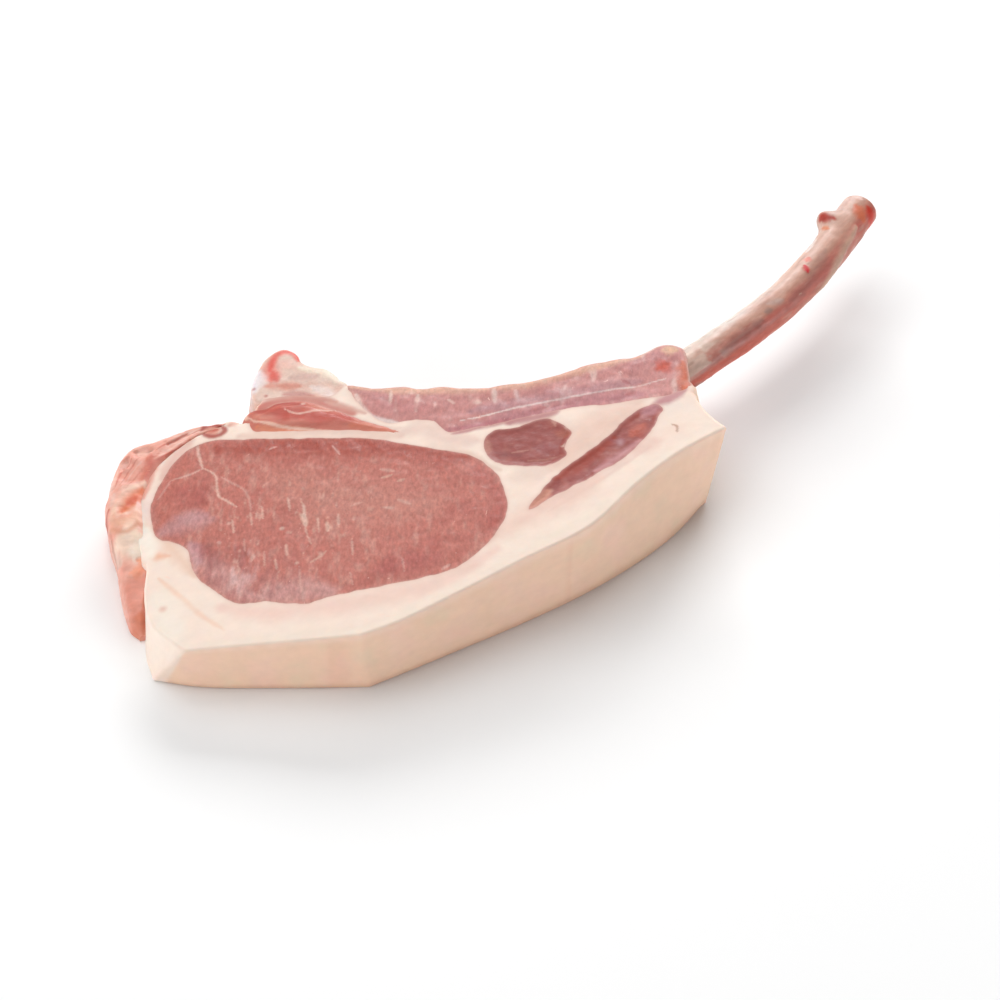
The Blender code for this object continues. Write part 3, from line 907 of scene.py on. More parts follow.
class LoinEye(SliceTissue):
    """The big round muscle: rosy red, marbled, with silvery sheets at its backbone end."""

    crown = (0.35, 6.0)
    waves = ((0.12, 5.0, 31, 2), (0.06, 1.6, 32, 1))      # the fine unevenness of the cut
    base = "c6776a"
    mottles = (Mottle("d69f90", 0.5, 1.6, 41, stretch=(1.0, 0.4, 1.0)),
               Mottle("b45f55", 0.6, 6.0, 42, (0.0, 0.7), octaves=2))
    fleck = Mottle("e6bcab", 0.8, 1.2, 43, (0.28, 0.7), stretch=(1.0, 0.4, 1.0))
    silver = (Mottle("dfb6b2", 0.7, 2.0, 44, stretch=(1.0, 0.3, 1.0)),
              Mottle("ad6a66", 0.6, 2.0, 44, (-0.05, -0.5), stretch=(1.0, 0.3, 1.0)))
    # Darker and paler fields first, then the forked vein, then flecks of marbling.
    marks = (
        patch("ac4c3d", 0.85, 4.2, (17.7, 59.8), (39.5, 58.7), (67.3, 54.2), (84.3, 47.9)),
        patch("b9635a", 0.6, 3.0, (88.7, 43.9), (94.6, 32.0), (93.0, 22.3)),
        patch("cc8b7c", 0.6, 8.0, (32.0, 46.1), (51.6, 36.2), (76.0, 31.6)),
        patch("b9655f", 0.6, 4.0, (63.4, 9.5), (79.0, 13.1)),
        patch("dcb2ae", 0.5, 4.0, (16.6, 17.5), (28.2, 5.6), (42.7, 4.8), (50.6, 3.2)),
        patch("b8635a", 0.8, 4.6, (6.8, 44.5), (14.5, 41.7), soft=0.9),
        patch("ad5048", 0.45, 2.0, (8.4, 39.0), (15.0, 39.0)),
        patch("cb9b9b", 0.6, 3.2, (4.1, 29.8), (10.7, 32.0), (17.2, 32.7)),
        patch("c59ba0", 0.34, 2.0, (7.8, 34.2), (15.2, 34.1)),
        patch("c9969c", 0.65, 2.4, (12.0, 24.2), (15.3, 17.6), soft=0.8),
        patch("a65c58", 0.6, 2.4, (16.6, 23.6), (18.7, 15.1)),
        patch("ad5f59", 0.6, 2.2, (25.1, 21.6), (27.1, 13.5), soft=0.9),
        patch("bd6a5e", 0.7, 1.8, (29.6, 11.5), (31.6, 5.3), soft=0.9),
        vein("e9bfb0", 0.78, 0.42, (10.2, 65.4), (10.9, 60.2), (11.9, 55.8), (13.0, 52.2)),
        vein("deb1a5", 0.75, 0.36, (12.7, 52.2), (10.6, 50.9), (8.0, 49.9), (4.7, 49.1)),
        vein("e9bbab", 0.85, 0.36, (13.3, 52.3), (15.3, 50.9), (16.8, 49.0), (17.4, 45.9), (18.4, 41.2),
             (20.7, 39.1), (23.7, 36.5)),
        vein("dba89c", 0.65, 0.34, (18.3, 48.5), (21.8, 45.7), (24.8, 43.1), (26.7, 39.5), (27.6, 34.9)),
        vein("d7a49b", 0.6, 0.3, (4.4, 48.9), (2.9, 45.3), (1.3, 41.7)),
        vein("e8c3b2", 0.8, 0.8, (41.9, 31.8), (42.9, 27.2)),
        vein("e6c1b1", 0.7, 0.7, (36.5, 27.2)),
        vein("e4bcab", 0.7, 0.5, (48.5, 28.4), (49.0, 24.7)),
        vein("dfb3a4", 0.7, 0.26, (41.0, 37.5), (42.4, 31.7), (43.0, 25.8), (45.0, 19.8)),
        vein("e2b8a8", 0.7, 0.3, (35.4, 16.2), (36.2, 12.2)),
        vein("e1b3a4", 0.75, 0.55, (41.3, 14.1)),
        vein("d9a79b", 0.7, 0.26, (41.9, 13.3), (42.8, 6.5), (43.9, 0.8)),
        vein("ddb5a2", 0.6, 0.36, (44.5, 13.7), (47.1, 15.6), (48.8, 17.5)),
        vein("e3b3a9", 0.7, 0.34, (30.9, 57.8), (32.8, 58.7)),
        vein("e3b3a9", 0.75, 0.36, (48.4, 57.2), (50.8, 53.4)),
        vein("dcb6a2", 0.55, 0.5, (62.5, 42.9), (65.4, 43.7)),
        vein("dcb6a2", 0.5, 0.45, (67.1, 41.2), (69.0, 41.7)),
        vein("d9b2a2", 0.5, 0.5, (63.4, 31.9), (65.8, 31.3)),
        vein("d9aea0", 0.5, 0.45, (55.0, 33.6), (57.6, 34.4)),
        vein("e3b5a8", 0.6, 0.5, (22.0, 30.7)),
        vein("e0b3a8", 0.6, 0.5, (19.8, 24.0)),
        vein("e2b0a4", 0.7, 0.5, (79.3, 7.8), (81.6, 9.6)),
        vein("e6bdac", 0.6, 0.3, (22.7, 32.1), (23.6, 26.9)),
        vein("e6bdac", 0.6, 0.3, (27.4, 34.6), (28.3, 29.3)),
        vein("e6bdac", 0.6, 0.3, (30.5, 36.4), (31.1, 31.2)),
        vein("e9c2b2", 0.6, 0.35, (37.4, 38.6), (38.3, 33.3)),
        vein("e9c2b2", 0.65, 0.4, (41.9, 35.5), (42.5, 29.9)),
        vein("e6bdac", 0.55, 0.3, (46.0, 29.5), (46.6, 24.6)),
        vein("e6bdac", 0.6, 0.4, (51.4, 30.7), (51.8, 25.9)),
        vein("e3b9aa", 0.55, 0.3, (55.5, 21.1), (56.0, 15.3)),
        vein("e3b9aa", 0.55, 0.3, (32.2, 19.4), (32.8, 14.3)),
        vein("e6bdac", 0.6, 0.45, (38.0, 21.3), (38.5, 16.9)),
        vein("e0b3a6", 0.5, 0.3, (26.4, 25.1), (27.1, 19.9)),
        vein("e0b0a4", 0.5, 0.28, (69.0, 13.2), (69.9, 7.8)),
        vein("e0b0a4", 0.5, 0.28, (55.5, 9.7), (56.5, 4.7)),
        patch("e2b8aa", 0.5, 0.5, (62.1, 46.3), (66.2, 45.1), soft=0.9),
        patch("e2b8aa", 0.5, 0.5, (67.3, 34.4), (70.6, 32.2), soft=0.9),
    )

    def tint(self, places: Array, level: Array, side: Array, seam: Array) -> Array:
        """Add pale flecks in the middle and silvery streaks towards the low backbone end.

        Takes and gives what SliceTissue.tint does.
        """
        colour = super().tint(places, level, side, seam)
        low, high = self.low(), self.high()
        across, along = ((places[:, :2] - low) / (high - low)).T
        middle = np.exp(-((across - 0.38) / 0.22) ** 2 - ((along - 0.42) / 0.36) ** 2)
        colour = self.fleck.lay(colour, places, middle)
        sheets = ramp(along, 0.5, 0.15) * ramp(across, 0.62, 0.2)
        for streak in self.silver:
            colour = streak.lay(colour, places, sheets)
        return blend(colour, "cf9a8e", 0.7 * np.exp(-seam / 0.3))


class CapMuscle(SliceTissue):
    """A small dark muscle shut in by fat, drawn back a little and rosier at its edge."""

    crown = (-0.35, 2.0)
    waves = ((0.15, 3.0, 51, 2),)
    base = "a04f49"
    mottles = (Mottle("ba7267", 0.5, 3.0, 52),)
    edge = ("cf9a90", 0.7, 0.35)
    marks = (
        patch("9a463f", 0.7, 3.5, (5.4, 11.1), (13.5, 12.1)),
        patch("be7a68", 0.8, 0.9, (0.5, 11.7), (0.8, 6.7), soft=0.9),
        patch("b0624f", 0.7, 1.8, (19.8, 12.5), (22.5, 11.4), soft=0.9),
        patch("a25a5a", 0.7, 2.0, (13.5, 7.5), (18.1, 7.3)),
        patch("8f4643", 0.7, 1.0, (3.2, 6.8), (9.4, 4.9)),
        vein("c48a7b", 0.6, 0.3, (7.3, 6.3), (12.1, 6.9)),
        vein("c08272", 0.6, 0.3, (11.5, 2.7), (16.9, 2.8), (20.7, 3.5)),
        patch("b98f90", 0.6, 1.0, (8.1, 18.2), (20.5, 19.9)),
        patch("e6c3b4", 0.8, 0.7, (24.1, 13.5), (22.0, 14.2), soft=0.8),
        patch("e6c3b4", 0.8, 0.7, (23.2, 7.4), (20.8, 7.0), soft=0.8),
        patch("d9a596", 0.7, 0.5, (18.2, 17.4), (19.3, 15.3), soft=0.9),
    )


class StripMuscle(CapMuscle):
    """The thin dark muscle that lies slantwise in the fat."""

    marks = (
        patch("a5402f", 0.9, 1.9, (7.4, 11.1), (12.5, 13.9), (16.6, 18.0), (23.2, 24.4), soft=0.8),
        patch("cb8e90", 0.8, 1.2, (18.0, 12.5), (24.6, 17.4), (30.1, 22.4)),
        patch("c25a44", 0.85, 1.9, (28.1, 25.0), (31.5, 28.5)),
        patch("bb9096", 0.7, 1.2, (24.8, 22.7), soft=0.9),
        patch("9c4c50", 0.7, 0.6, (21.1, 24.7), (23.7, 22.8)),
        patch("a84e42", 0.7, 0.8, (25.0, 28.1), (30.5, 32.5)),
        patch("cf9a98", 0.8, 1.6, (35.1, 36.7), (39.7, 41.3)),
        patch("d08c76", 0.95, 1.9, (5.7, 6.5), (3.0, 3.1), (-0.2, -0.9), soft=0.8),
        patch("c78d90", 0.8, 1.4, (34.0, 36.0), (36.2, 37.3)),
        patch("cf9090", 0.75, 1.2, (31.1, 31.6), (34.8, 35.9)),
        patch("9c4c45", 0.85, 0.9, (18.9, 22.7), (22.8, 26.4), (27.0, 31.0), soft=0.8),
        patch("c4868b", 0.9, 2.3, (32.2, 33.5), (35.3, 35.8), (37.9, 37.9)),
    )


class RibLean(SliceTissue):
    """The band of lean along the rib: pink-purple, with pale flecks that cross it."""

    waves = ((0.4, 7.0, 61, 2), (0.12, 2.2, 62, 1))       # soft lumps
    wave_edge = 2.0
    base = "cc8b86"
    mottles = (Mottle("e9c4ba", 0.7, 2.2, 63, (0.15, 0.6), octaves=2, stretch=(1.0, 0.35, 1.0)),
               Mottle("bd7c7d", 0.5, 5.0, 64, octaves=2))
    sheet_base = "dca79b"
    sheet_mottles = (Mottle("efd2c5", 0.75, 2.6, 65, stretch=(0.14, 0.14, 1.0)),
                     Mottle("c07f7b", 0.55, 2.6, 65, (-0.1, -0.6), stretch=(0.14, 0.14, 1.0)),
                     Mottle("f3dfd0", 0.8, 7.0, 66, (0.15, 0.6), stretch=(0.5, 0.5, 1.0)))
    # A tan upper edge, a purple lower stripe, white sheets between, and the red root of the bone.
    marks = (
        patch("e6b49a", 0.8, 1.7, (0.9, 21.8), (14.6, 18.4), (28.6, 17.0), (48.2, 16.5), (64.9, 20.1),
              (81.7, 23.7)),
        patch("bd7b80", 0.8, 1.9, (28.1, 0.3), (42.6, 2.8), (59.1, 5.9), (75.6, 8.2), (86.6, 8.8),
              soft=0.9),
        patch("b5656a", 0.7, 0.8, (30.3, 0.8), (37.1, 1.5), (45.3, 2.9)),
        patch("b96d6c", 0.7, 0.7, (50.9, 5.4), (55.0, 6.4)),
        patch("b76a66", 0.8, 0.7, (77.3, 8.8), (80.6, 10.0)),
        vein("efd9d0", 0.9, 0.36, (31.6, 3.8), (39.8, 5.5), (48.1, 7.3), (59.2, 9.1), (72.9, 11.0),
             (81.2, 11.9), (88.1, 13.4)),
        vein("e3c4bc", 0.8, 0.3, (45.3, 1.7), (50.8, 3.0), (59.1, 3.9)),
        patch("dba295", 0.85, 1.6, (0.5, 19.4), (3.0, 13.8)),
        patch("efd3c8", 0.85, 0.9, (2.2, 17.9), (4.1, 12.4), (6.5, 9.3)),
        vein("eecfc2", 0.7, 0.5, (12.1, 18.3), (12.0, 12.6)),
        patch("e9c7bb", 0.7, 0.6, (19.7, 15.7), (19.3, 8.9), soft=0.8),
        vein("e9c7bb", 0.7, 0.5, (30.1, 11.1), (28.1, 13.0)),
        patch("e9c7bb", 0.7, 0.8, (36.5, 10.7), soft=0.8),
        patch("ecd0c6", 0.7, 0.7, (40.9, 15.4), (41.2, 9.4), soft=0.8),
        patch("e8c8c2", 0.6, 0.6, (46.8, 14.3), (47.6, 9.4), soft=0.9),
        patch("b9898f", 0.6, 2.0, (34.3, 7.4), (59.2, 10.7), (81.3, 13.5)),
        patch("c7817f", 0.6, 1.6, (9.2, 13.0), (23.2, 10.0)),
        patch("cf5138", 0.9, 2.3, (86.4, 17.7), (89.5, 19.4), soft=0.9),
        patch("d5704e", 0.9, 1.7, (93.4, 19.7), (93.7, 14.7), (93.1, 8.4), soft=0.9),
        patch("e2b491", 0.85, 1.8, (88.4, 25.3), (91.7, 24.8)),
        patch("d99a94", 0.7, 2.6, (81.2, 10.7), (88.7, 8.9)),
        patch("a84a4a", 0.6, 0.6, (76.4, 14.5), (78.5, 13.1), soft=0.9),
        patch("f0ddd6", 0.85, 0.9, (-2.1, 14.0), (6.5, 8.5), (15.0, 4.7), soft=0.8),
    )

    def tint(self, places: Array, level: Array, side: Array, seam: Array) -> Array:
        """Cover the side at the back with a streaky pale sheet.

        Takes and gives what SliceTissue.tint does.
        """
        colour = super().tint(places, level, side, seam)
        sheet = mottled(self.sheet_base, self.sheet_mottles, places)
        return colour + (sheet - colour) * (0.85 * side)[:, None]


class ChineLean(SliceTissue):
    """Lean folded over beside the backbone: orange-red and smooth."""

    crown = (0.9, 3.0)
    waves = ((0.15, 3.0, 71, 2),)
    base = "d07b6b"
    mottles = (Mottle("dd9683", 0.5, 3.0, 72, octaves=2, stretch=(0.4, 1.0, 1.0)),)
    # Red folds, orange ridges and the pale threads between them.
    marks = (
        patch("c1564a", 0.9, 2.5, (3.5, 13.4), (9.0, 12.3), (16.2, 9.4), (30.3, 6.8), soft=0.9),
        patch("b9544c", 0.8, 1.0, (5.1, 15.6), (11.6, 15.2), (17.4, 13.3)),
        patch("e58d6d", 0.85, 1.3, (4.6, 6.4), (12.3, 4.3), (19.3, 3.4), soft=0.9),
        patch("d67a60", 0.8, 1.2, (30.5, 4.0), (37.5, 2.4), (43.1, 0.9)),
        vein("f0c4b1", 0.9, 0.5, (1.7, 10.8), (3.9, 8.5), (7.3, 7.3), (12.2, 5.5), (19.3, 3.8),
             (27.8, 2.0)),
        vein("eebfb0", 0.85, 0.4, (11.5, 12.4), (15.3, 9.9), (21.2, 10.8), (26.2, 10.6)),
        vein("f3cfc1", 0.7, 0.7, (16.8, 14.2)),
        vein("efb49e", 0.8, 0.6, (0.9, 14.1), (1.6, 16.1), (3.3, 17.1)),
        patch("dd9a85", 0.6, 1.2, (20.2, 12.9), (25.9, 11.8)),
        vein("f4cdb9", 0.7, 0.6, (0.5, 12.6), (1.2, 10.0)),
    )


class BoneStub(SliceTissue):
    """The sawn end of bone that is left of the backbone, with cartilage beside it."""

    waves = ((0.4, 5.0, 81, 2),)
    base = "ecccbd"
    mottles = (Mottle("e3b3a2", 0.5, 4.0, 82, octaves=2),)
    # The red rim of the sawn disc, cream bone, and the tan slope towards the chine.
    marks = (
        patch("ee8577", 0.85, 2.0, (7.4, 8.3), (6.8, 13.4), (7.7, 17.1)),
        patch("ea6558", 0.9, 1.2, (6.8, 13.0), (7.2, 16.3), (8.4, 19.1), (11.2, 20.0), (13.9, 18.4),
              (14.7, 15.7), soft=0.9),
        patch("e0584c", 0.8, 1.4, (9.1, 8.5), (7.7, 12.0)),
        patch("f6c9bb", 0.9, 1.9, (10.4, 15.9), (12.5, 13.9), soft=0.9),
        patch("f6e3cf", 0.9, 1.7, (15.4, 12.7), (21.3, 10.7), (28.7, 5.6), soft=0.9),
        patch("cfa79e", 0.65, 1.3, (12.8, 8.9), (16.8, 8.8), (20.8, 8.7)),
        patch("d98672", 0.8, 1.5, (6.1, 6.4), (15.9, 5.2)),
        patch("c07c74", 0.8, 1.7, (11.8, 2.4), (19.5, 1.0)),
        patch("d9917c", 0.85, 1.7, (17.6, 0.0), (24.8, -2.1)),
        patch("f4ded7", 0.85, 1.3, (19.3, 4.7), (24.6, 0.8), (29.1, -3.9), soft=0.9),
        patch("ecb9a2", 0.8, 2.0, (28.8, 1.9), (31.6, 2.3)),
        patch("f7eef2", 0.9, 2.2, (3.1, 12.6), (2.8, 5.2)),
        patch("b5423c", 0.7, 0.5, (2.7, 5.6), soft=0.9),
        patch("b5423c", 0.7, 0.5, (6.4, 2.3), soft=0.9),
        patch("f7e6d6", 0.9, 2.2, (23.0, 10.5), (27.1, 7.9), (30.1, 5.0), lift=0.3),
    )


# ---------------------------------------------------------------- the plan of the slice

@dataclass
class SlicePlan:
    """One triangulation of the whole slice, seen from above, and the shapes of its sides.

    Attributes:
        tissues: The pieces, in the order in which they claim triangles.
        face: The upper cut face.
        rim_turns: Angles of the rows on the rounded rim under the cut face.
        foot_turns: Angles of the rows on the tighter rounding above the floor.
        foot_radius: Largest radius of that rounding.
        wall_rows: Rows on the straight stretch between the two, its ends included.
        rib_swell: How far the side of the rib lean bulges at the root of the bone.
        swell_length: Distance along the rib over which that bulge fades.
        side_reach: Distance over which a border point takes after a solid's outline.
        drift_reach: Distance inwards over which a side's lean to the floor fades.
        keep_off: Least distance of a lattice point from an outline, in mesh steps.
        out_of_line: How far lattice points are moved out of line, in mesh steps.
        points: All points in plan.
        triangles: Their numbers, three to a triangle.
        owner: The piece that each triangle belongs to.
        loops: The outline of each piece on the cut face.
        side_top, side_low: The free side of the fat on the cut face and on the floor.
        is_outer: Whether each point is on the border of the slice.
        away: Outward direction at each border point.
        drift: How far each point shifts from the cut face to the floor.
        rim, wobble, bulge: Rim radius, relief and bulge of the side under each border point.
        height: Height of the finished cut face at each point.
    """

    tissues: list
    face: CutFace
    rim_turns: tuple = (15.0, 30.0, 45.0, 60.0, 75.0, 90.0)
    foot_turns: tuple = (0.0, 25.0, 50.0, 72.0)
    foot_radius: float = 0.9
    wall_rows: int = 26
    rib_swell: float = 7.0
    swell_length: float = 22.0
    side_reach: float = 0.8
    drift_reach: float = 12.0
    keep_off: float = 0.62
    out_of_line: float = 0.12
    points: Array = field(init=False)
    triangles: Array = field(init=False)
    owner: Array = field(init=False)
    loops: dict = field(init=False, default_factory=dict)
    side_top: Array = field(init=False)
    side_low: Array = field(init=False)
    is_outer: Array = field(init=False)
    away: Array = field(init=False)
    drift: Array = field(init=False)
    rim: Array = field(init=False)
    wobble: Array = field(init=False)
    bulge: Array = field(init=False)
    height: Array = field(init=False)

    def outline(self, tissue: SliceTissue) -> Array:
        """Read a muscle's outline and let it wander: seams fray, and a lumpy back swells.

        Args:
            tissue: The muscle.

        Returns:
            Its outline on the cut face, grown by half of the clearance.
        """
        loop = spread(smooth(face_loop(tissue.node, self.face), closed=True), step=MESH_STEP)[:-1]
        away = outward(loop)
        wander = tissue.fray * (noise(loop, 2.6, 5, 2) + 0.5 * noise(loop, 9.0, 6))
        if tissue.lumps:
            wander += (tissue.lumps * noise(loop, 6.0, 9) - wander) * ramp(away[:, 1], 0.2, 0.7)
        return loop + away * (SEAM_GROWTH + wander)[:, None]

    def lay_out(self) -> None:
        """Read all outlines, triangulate them together and share the triangles out."""
        for tissue in self.tissues[:-1]:
            self.loops[tissue.tissue] = self.outline(tissue)
        self.side_top, self.side_low, self.loops[Tissue.FAT] = self.fat_outline()
        self.points, faces = self.triangulate(list(self.loops.values()))
        corners = self.points[faces]
        area = np.cross(corners[:, 1] - corners[:, 0], corners[:, 2] - corners[:, 0])
        faces = np.where(area[:, None] < 0, faces[:, ::-1], faces)
        centres = corners.mean(axis=1)
        owner = np.full(len(faces), -1)
        for number, tissue in enumerate(self.tissues):
            free = np.flatnonzero(owner < 0)
            owner[free[inside(centres[free], self.loops[tissue.tissue])]] = number
        kept = (owner >= 0) & (np.abs(area) > SLIVER)
        self.triangles, self.owner = faces[kept], owner[kept]
        log.info("plan: %d points, %d triangles", len(self.points), kept.sum())

    def triangulate(self, borders: list) -> tuple[Array, Array]:
        """Triangulate the outlines and a lattice of points between them.

        Args:
            borders: The outlines, whose stretches all become edges.

        Returns:
            The points in plan and the triangles.
        """
        fixed = np.vstack(borders)
        lattice = self.lattice(fixed.min(axis=0), fixed.max(axis=0))
        lattice = lattice[nearest(lattice, fixed)[0] > self.keep_off * MESH_STEP]
        edges, first = [], 0
        for loop in borders:
            count = len(loop)
            edges += [(first + place, first + (place + 1) % count) for place in range(count)]
            first += count
        coords = [Vector(place) for place in np.vstack([fixed, lattice]).tolist()]
        points, _, faces, *_ = geometry.delaunay_2d_cdt(coords, edges, [], 0, 1e-5)
        return np.array([place[:] for place in points]), np.array(faces)

    def lattice(self, low: Array, high: Array) -> Array:
        """Spread points in rows of equal triangles over a box, a little out of line.

        Args:
            low: Low corner of the box.
            high: Its high corner.

        Returns:
            The points.
        """
        across, along = np.meshgrid(np.arange(low[0], high[0], MESH_STEP),
                                    np.arange(low[1], high[1], MESH_STEP * TRIANGLE_HEIGHT))
        across[1::2] += MESH_STEP / 2
        places = np.column_stack([across.ravel(), along.ravel()])
        shift = np.column_stack([noise(places, MESH_STEP, 7), noise(places, MESH_STEP, 8)])
        return places + self.out_of_line * MESH_STEP * shift

    def fat_outline(self) -> tuple[Array, Array, Array]:
        """Follow the free side of the fat from corner to corner, at both cut faces.

        Returns:
            The side's points on the upper face, the same points on the floor, and the fat's
            whole outline, grown into its neighbours along the seams.
        """
        start = spot("chain_lean", 0.46, 0.235)
        end = spot("rib_lean", 1.0, 0.05)
        sides = []
        for face, first_corner in ((self.face, (-0.25, -1.0)), (None, (-1.0, -1.0))):
            loop = face_loop("fat_cap", face)
            corners = [furthest(loop, way) for way in (first_corner, (0.25, -1.0), (1.0, 0.0))]
            sides.append(stretches(loop, np.array([start, *corners, end])))
        upper = [spread(smooth(part), step=MESH_STEP) for part in sides[0][:4]]
        lower = [spread(smooth(part), count=len(match)) for part, match in zip(sides[1][:4], upper)]
        side_top = np.vstack([part[:-1] for part in upper])
        side_low = np.vstack([part[:-1] for part in lower])
        seam = spread(smooth(sides[0][4]), step=MESH_STEP)[:-1]
        meat = np.vstack([self.loops[piece] for piece in BACK_PIECES])
        touching = np.exp(-(nearest(seam, meat)[0] / 0.9) ** 2)
        whole = np.vstack([side_top, seam])
        growth = np.concatenate([np.zeros(len(side_top)), 1.4 * touching])
        return side_top, side_low, whole + outward(whole) * growth[:, None]

    def borders(self, triangles: Array) -> Array:
        """Directed edges of a set of triangles that have no other triangle behind them.

        Args:
            triangles: Point numbers, three to a triangle.

        Returns:
            Point numbers, two to an edge.
        """
        edges = np.vstack([triangles[:, (0, 1)], triangles[:, (1, 2)], triangles[:, (2, 0)]])
        size = len(self.points)
        forward = edges[:, 0] * size + edges[:, 1]
        back = edges[:, 1] * size + edges[:, 0]
        return edges[~np.isin(forward, back)]

    def shape(self) -> None:
        """Work out the heights, and how the side below each border point is shaped."""
        self.find_border()
        self.run_sides()
        self.raise_faces()

    def find_border(self) -> None:
        """Find the points on the border of the slice and their outward directions."""
        outer = self.borders(self.triangles)
        self.is_outer = np.zeros(len(self.points), bool)
        self.is_outer[outer] = True
        ring = np.flatnonzero(self.is_outer)
        step = self.points[outer[:, 1]] - self.points[outer[:, 0]]
        normal = np.stack([step[:, 1], -step[:, 0]], axis=1)
        self.away = np.zeros((len(self.points), 2))
        np.add.at(self.away, outer[:, 0], normal)
        np.add.at(self.away, outer[:, 1], normal)
        self.away[ring] /= np.maximum(np.linalg.norm(self.away[ring], axis=1), TINY)[:, None]

    def free_sides(self) -> tuple[Array, Array, Array]:
        """Pair the pieces' free outlines on the cut face with those on the floor.

        Returns:
            Places on the cut face, the places below them on the floor, and the number of
            the piece that each belongs to.
        """
        tops, lows = [self.side_top], [self.side_low]
        kinds = [np.full(len(self.side_top), len(self.tissues) - 1)]
        for number, tissue in enumerate(self.tissues[:-1]):
            if tissue.tissue in BACK_PIECES:
                top = self.loops[tissue.tissue]
                floor = spread(smooth(face_loop(tissue.node, None), closed=True), step=MESH_STEP)
                tops.append(top)
                lows.append(floor[nearest(top, floor)[1]])
                kinds.append(np.full(len(top), number))
        return np.vstack(tops), np.vstack(lows), np.concatenate(kinds)

    def run_sides(self) -> None:
        """Give each border point its run to the floor, rim, relief and bulge.

        Each is the mean over the solids' outlines, weighted by e^-(distance / reach)^2, so
        it changes smoothly from piece to piece.
        """
        tops, lows, kinds = self.free_sides()
        ring = np.flatnonzero(self.is_outer)
        gap = np.linalg.norm(self.points[ring][:, None] - tops[None], axis=2)
        weight = np.exp(-(gap / self.side_reach) ** 2) + 1e-12 * np.exp(-gap)
        weight /= weight.sum(axis=1)[:, None]
        count = len(self.points)
        self.drift = np.zeros((count, 2))
        self.drift[ring] = weight @ (lows - tops)
        rims = np.array([tissue.rim for tissue in self.tissues])[kinds]
        wobbles = np.array([tissue.wobble for tissue in self.tissues])[kinds]
        on_rib = np.array([tissue.tissue is Tissue.RIB for tissue in self.tissues], float)[kinds]
        self.rim, self.wobble, self.bulge = (np.zeros(count) for _ in range(3))
        self.rim[ring], self.wobble[ring] = weight @ rims, weight @ wobbles
        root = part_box("rib_bone")[0].x / MM + 4.0
        near_root = np.exp(-((self.points[ring, 0] - root) / self.swell_length) ** 2)
        facing_back = np.maximum(self.away[ring, 1], 0.0)
        self.bulge[ring] = (weight @ on_rib) * self.rib_swell * facing_back * (0.25 + 0.75 * near_root)
        used = np.unique(self.triangles)
        far, closest = nearest(self.points[used], self.points[ring])
        inner = ~self.is_outer[used]
        fading = self.drift[ring][closest] * np.exp(-far / self.drift_reach)[:, None]
        self.drift[used[inner]] = fading[inner]

    def raise_faces(self) -> None:
        """Add each piece's relief and the lift of its marks to the height of the cut face."""
        self.height = self.face.height(self.points)
        for number, tissue in enumerate(self.tissues):
            own = np.unique(self.triangles[self.owner == number])
            edge = np.unique(self.borders(self.triangles[self.owner == number]))
            depth = nearest(self.points[own], self.points[edge])[0]
            raised = lift(self.points[own], tissue.low(), tissue.marks) * ramp(depth, 0.0, 0.9)
            self.height[own] += tissue.relief(self.points[own], depth) + raised

    def wall(self, ring: Array) -> Array:
        """Shape the free side under border points.

        From the top a quarter circle of the rim's radius turns down, the side then runs
        straight or bulging, and a tighter quarter circle turns in to the floor.

        Args:
            ring: Numbers of the border points.

        Returns:
            Places of shape (rows, points, 3), without the top and floor points.
        """
        top, low = self.points[ring], self.points[ring] + self.drift[ring]
        height, rim = self.height[ring], np.minimum(self.rim[ring], self.height[ring] * 0.4)
        foot = np.minimum(rim, self.foot_radius)
        shares = np.linspace(0.0, 1.0, self.wall_rows)[1:-1]
        rows = [(np.sin(a) * rim, height - rim * (1 - np.cos(a))) for a in np.radians(self.rim_turns)]
        rows += [(rim, height - rim - (height - rim - foot) * share) for share in shares]
        rows += [(rim * np.cos(a), foot * (1 - np.sin(a))) for a in np.radians(self.foot_turns)]
        away = self.away[ring]
        built = []
        for out, up in rows:
            level = up / height
            base = low + (top - low) * level[:, None]
            swell = out + self.bulge[ring] * np.sin(np.pi * np.clip(level, 0.0, 1.0))
            place = np.column_stack([base + away * swell[:, None], up])
            rough = self.wobble[ring] * (noise(place, 6.0, 91, 2) + 0.4 * noise(place, 1.7, 92))
            place[:, :2] += away * (rough * ramp(level, 0.0, 0.08) * ramp(level, 1.0, 0.93))[:, None]
            built.append(place)
        return np.array(built)

    def build(self, number: int) -> bpy.types.Object:
        """Make the closed mesh of one piece: cut face, floor face, free sides and seams.

        Each border edge gets a strip of quads where it is free, and one polygon where a
        neighbour lies behind it.

        Args:
            number: The piece's place in the list of tissues.

        Returns:
            The piece, painted and dressed.
        """
        tissue = self.tissues[number]
        triangles = self.triangles[self.owner == number]
        used, local = np.unique(triangles, return_inverse=True)
        local = local.reshape(-1, 3)
        count = len(used)
        where = np.full(len(self.points), -1)
        where[used] = np.arange(count)
        top = np.column_stack([self.points[used], self.height[used]])
        floor = np.column_stack([self.points[used] + self.drift[used], np.zeros(count)])
        edges = self.borders(triangles)
        union = {tuple(edge) for edge in self.borders(self.triangles).tolist()}
        free = np.array([tuple(edge) in union for edge in edges.tolist()])
        ring = np.unique(edges[free]) if free.any() else np.zeros(0, np.int64)
        wall = self.wall(ring) if len(ring) else np.zeros((0, 0, 3))
        column = {vertex: (2 * count + np.arange(len(wall)) * len(ring) + place).tolist()
                  for place, vertex in enumerate(ring.tolist())}
        faces = local.tolist() + (local[:, ::-1] + count).tolist()
        for (a, b), is_free in zip(edges.tolist(), free.tolist()):
            left = [where[a], *column.get(a, []), where[a] + count]
            right = [where[b], *column.get(b, []), where[b] + count]
            if is_free:
                faces += [[left[row + 1], right[row + 1], right[row], left[row]]
                          for row in range(len(left) - 1)]
            else:
                faces.append([*left, *right[::-1]])
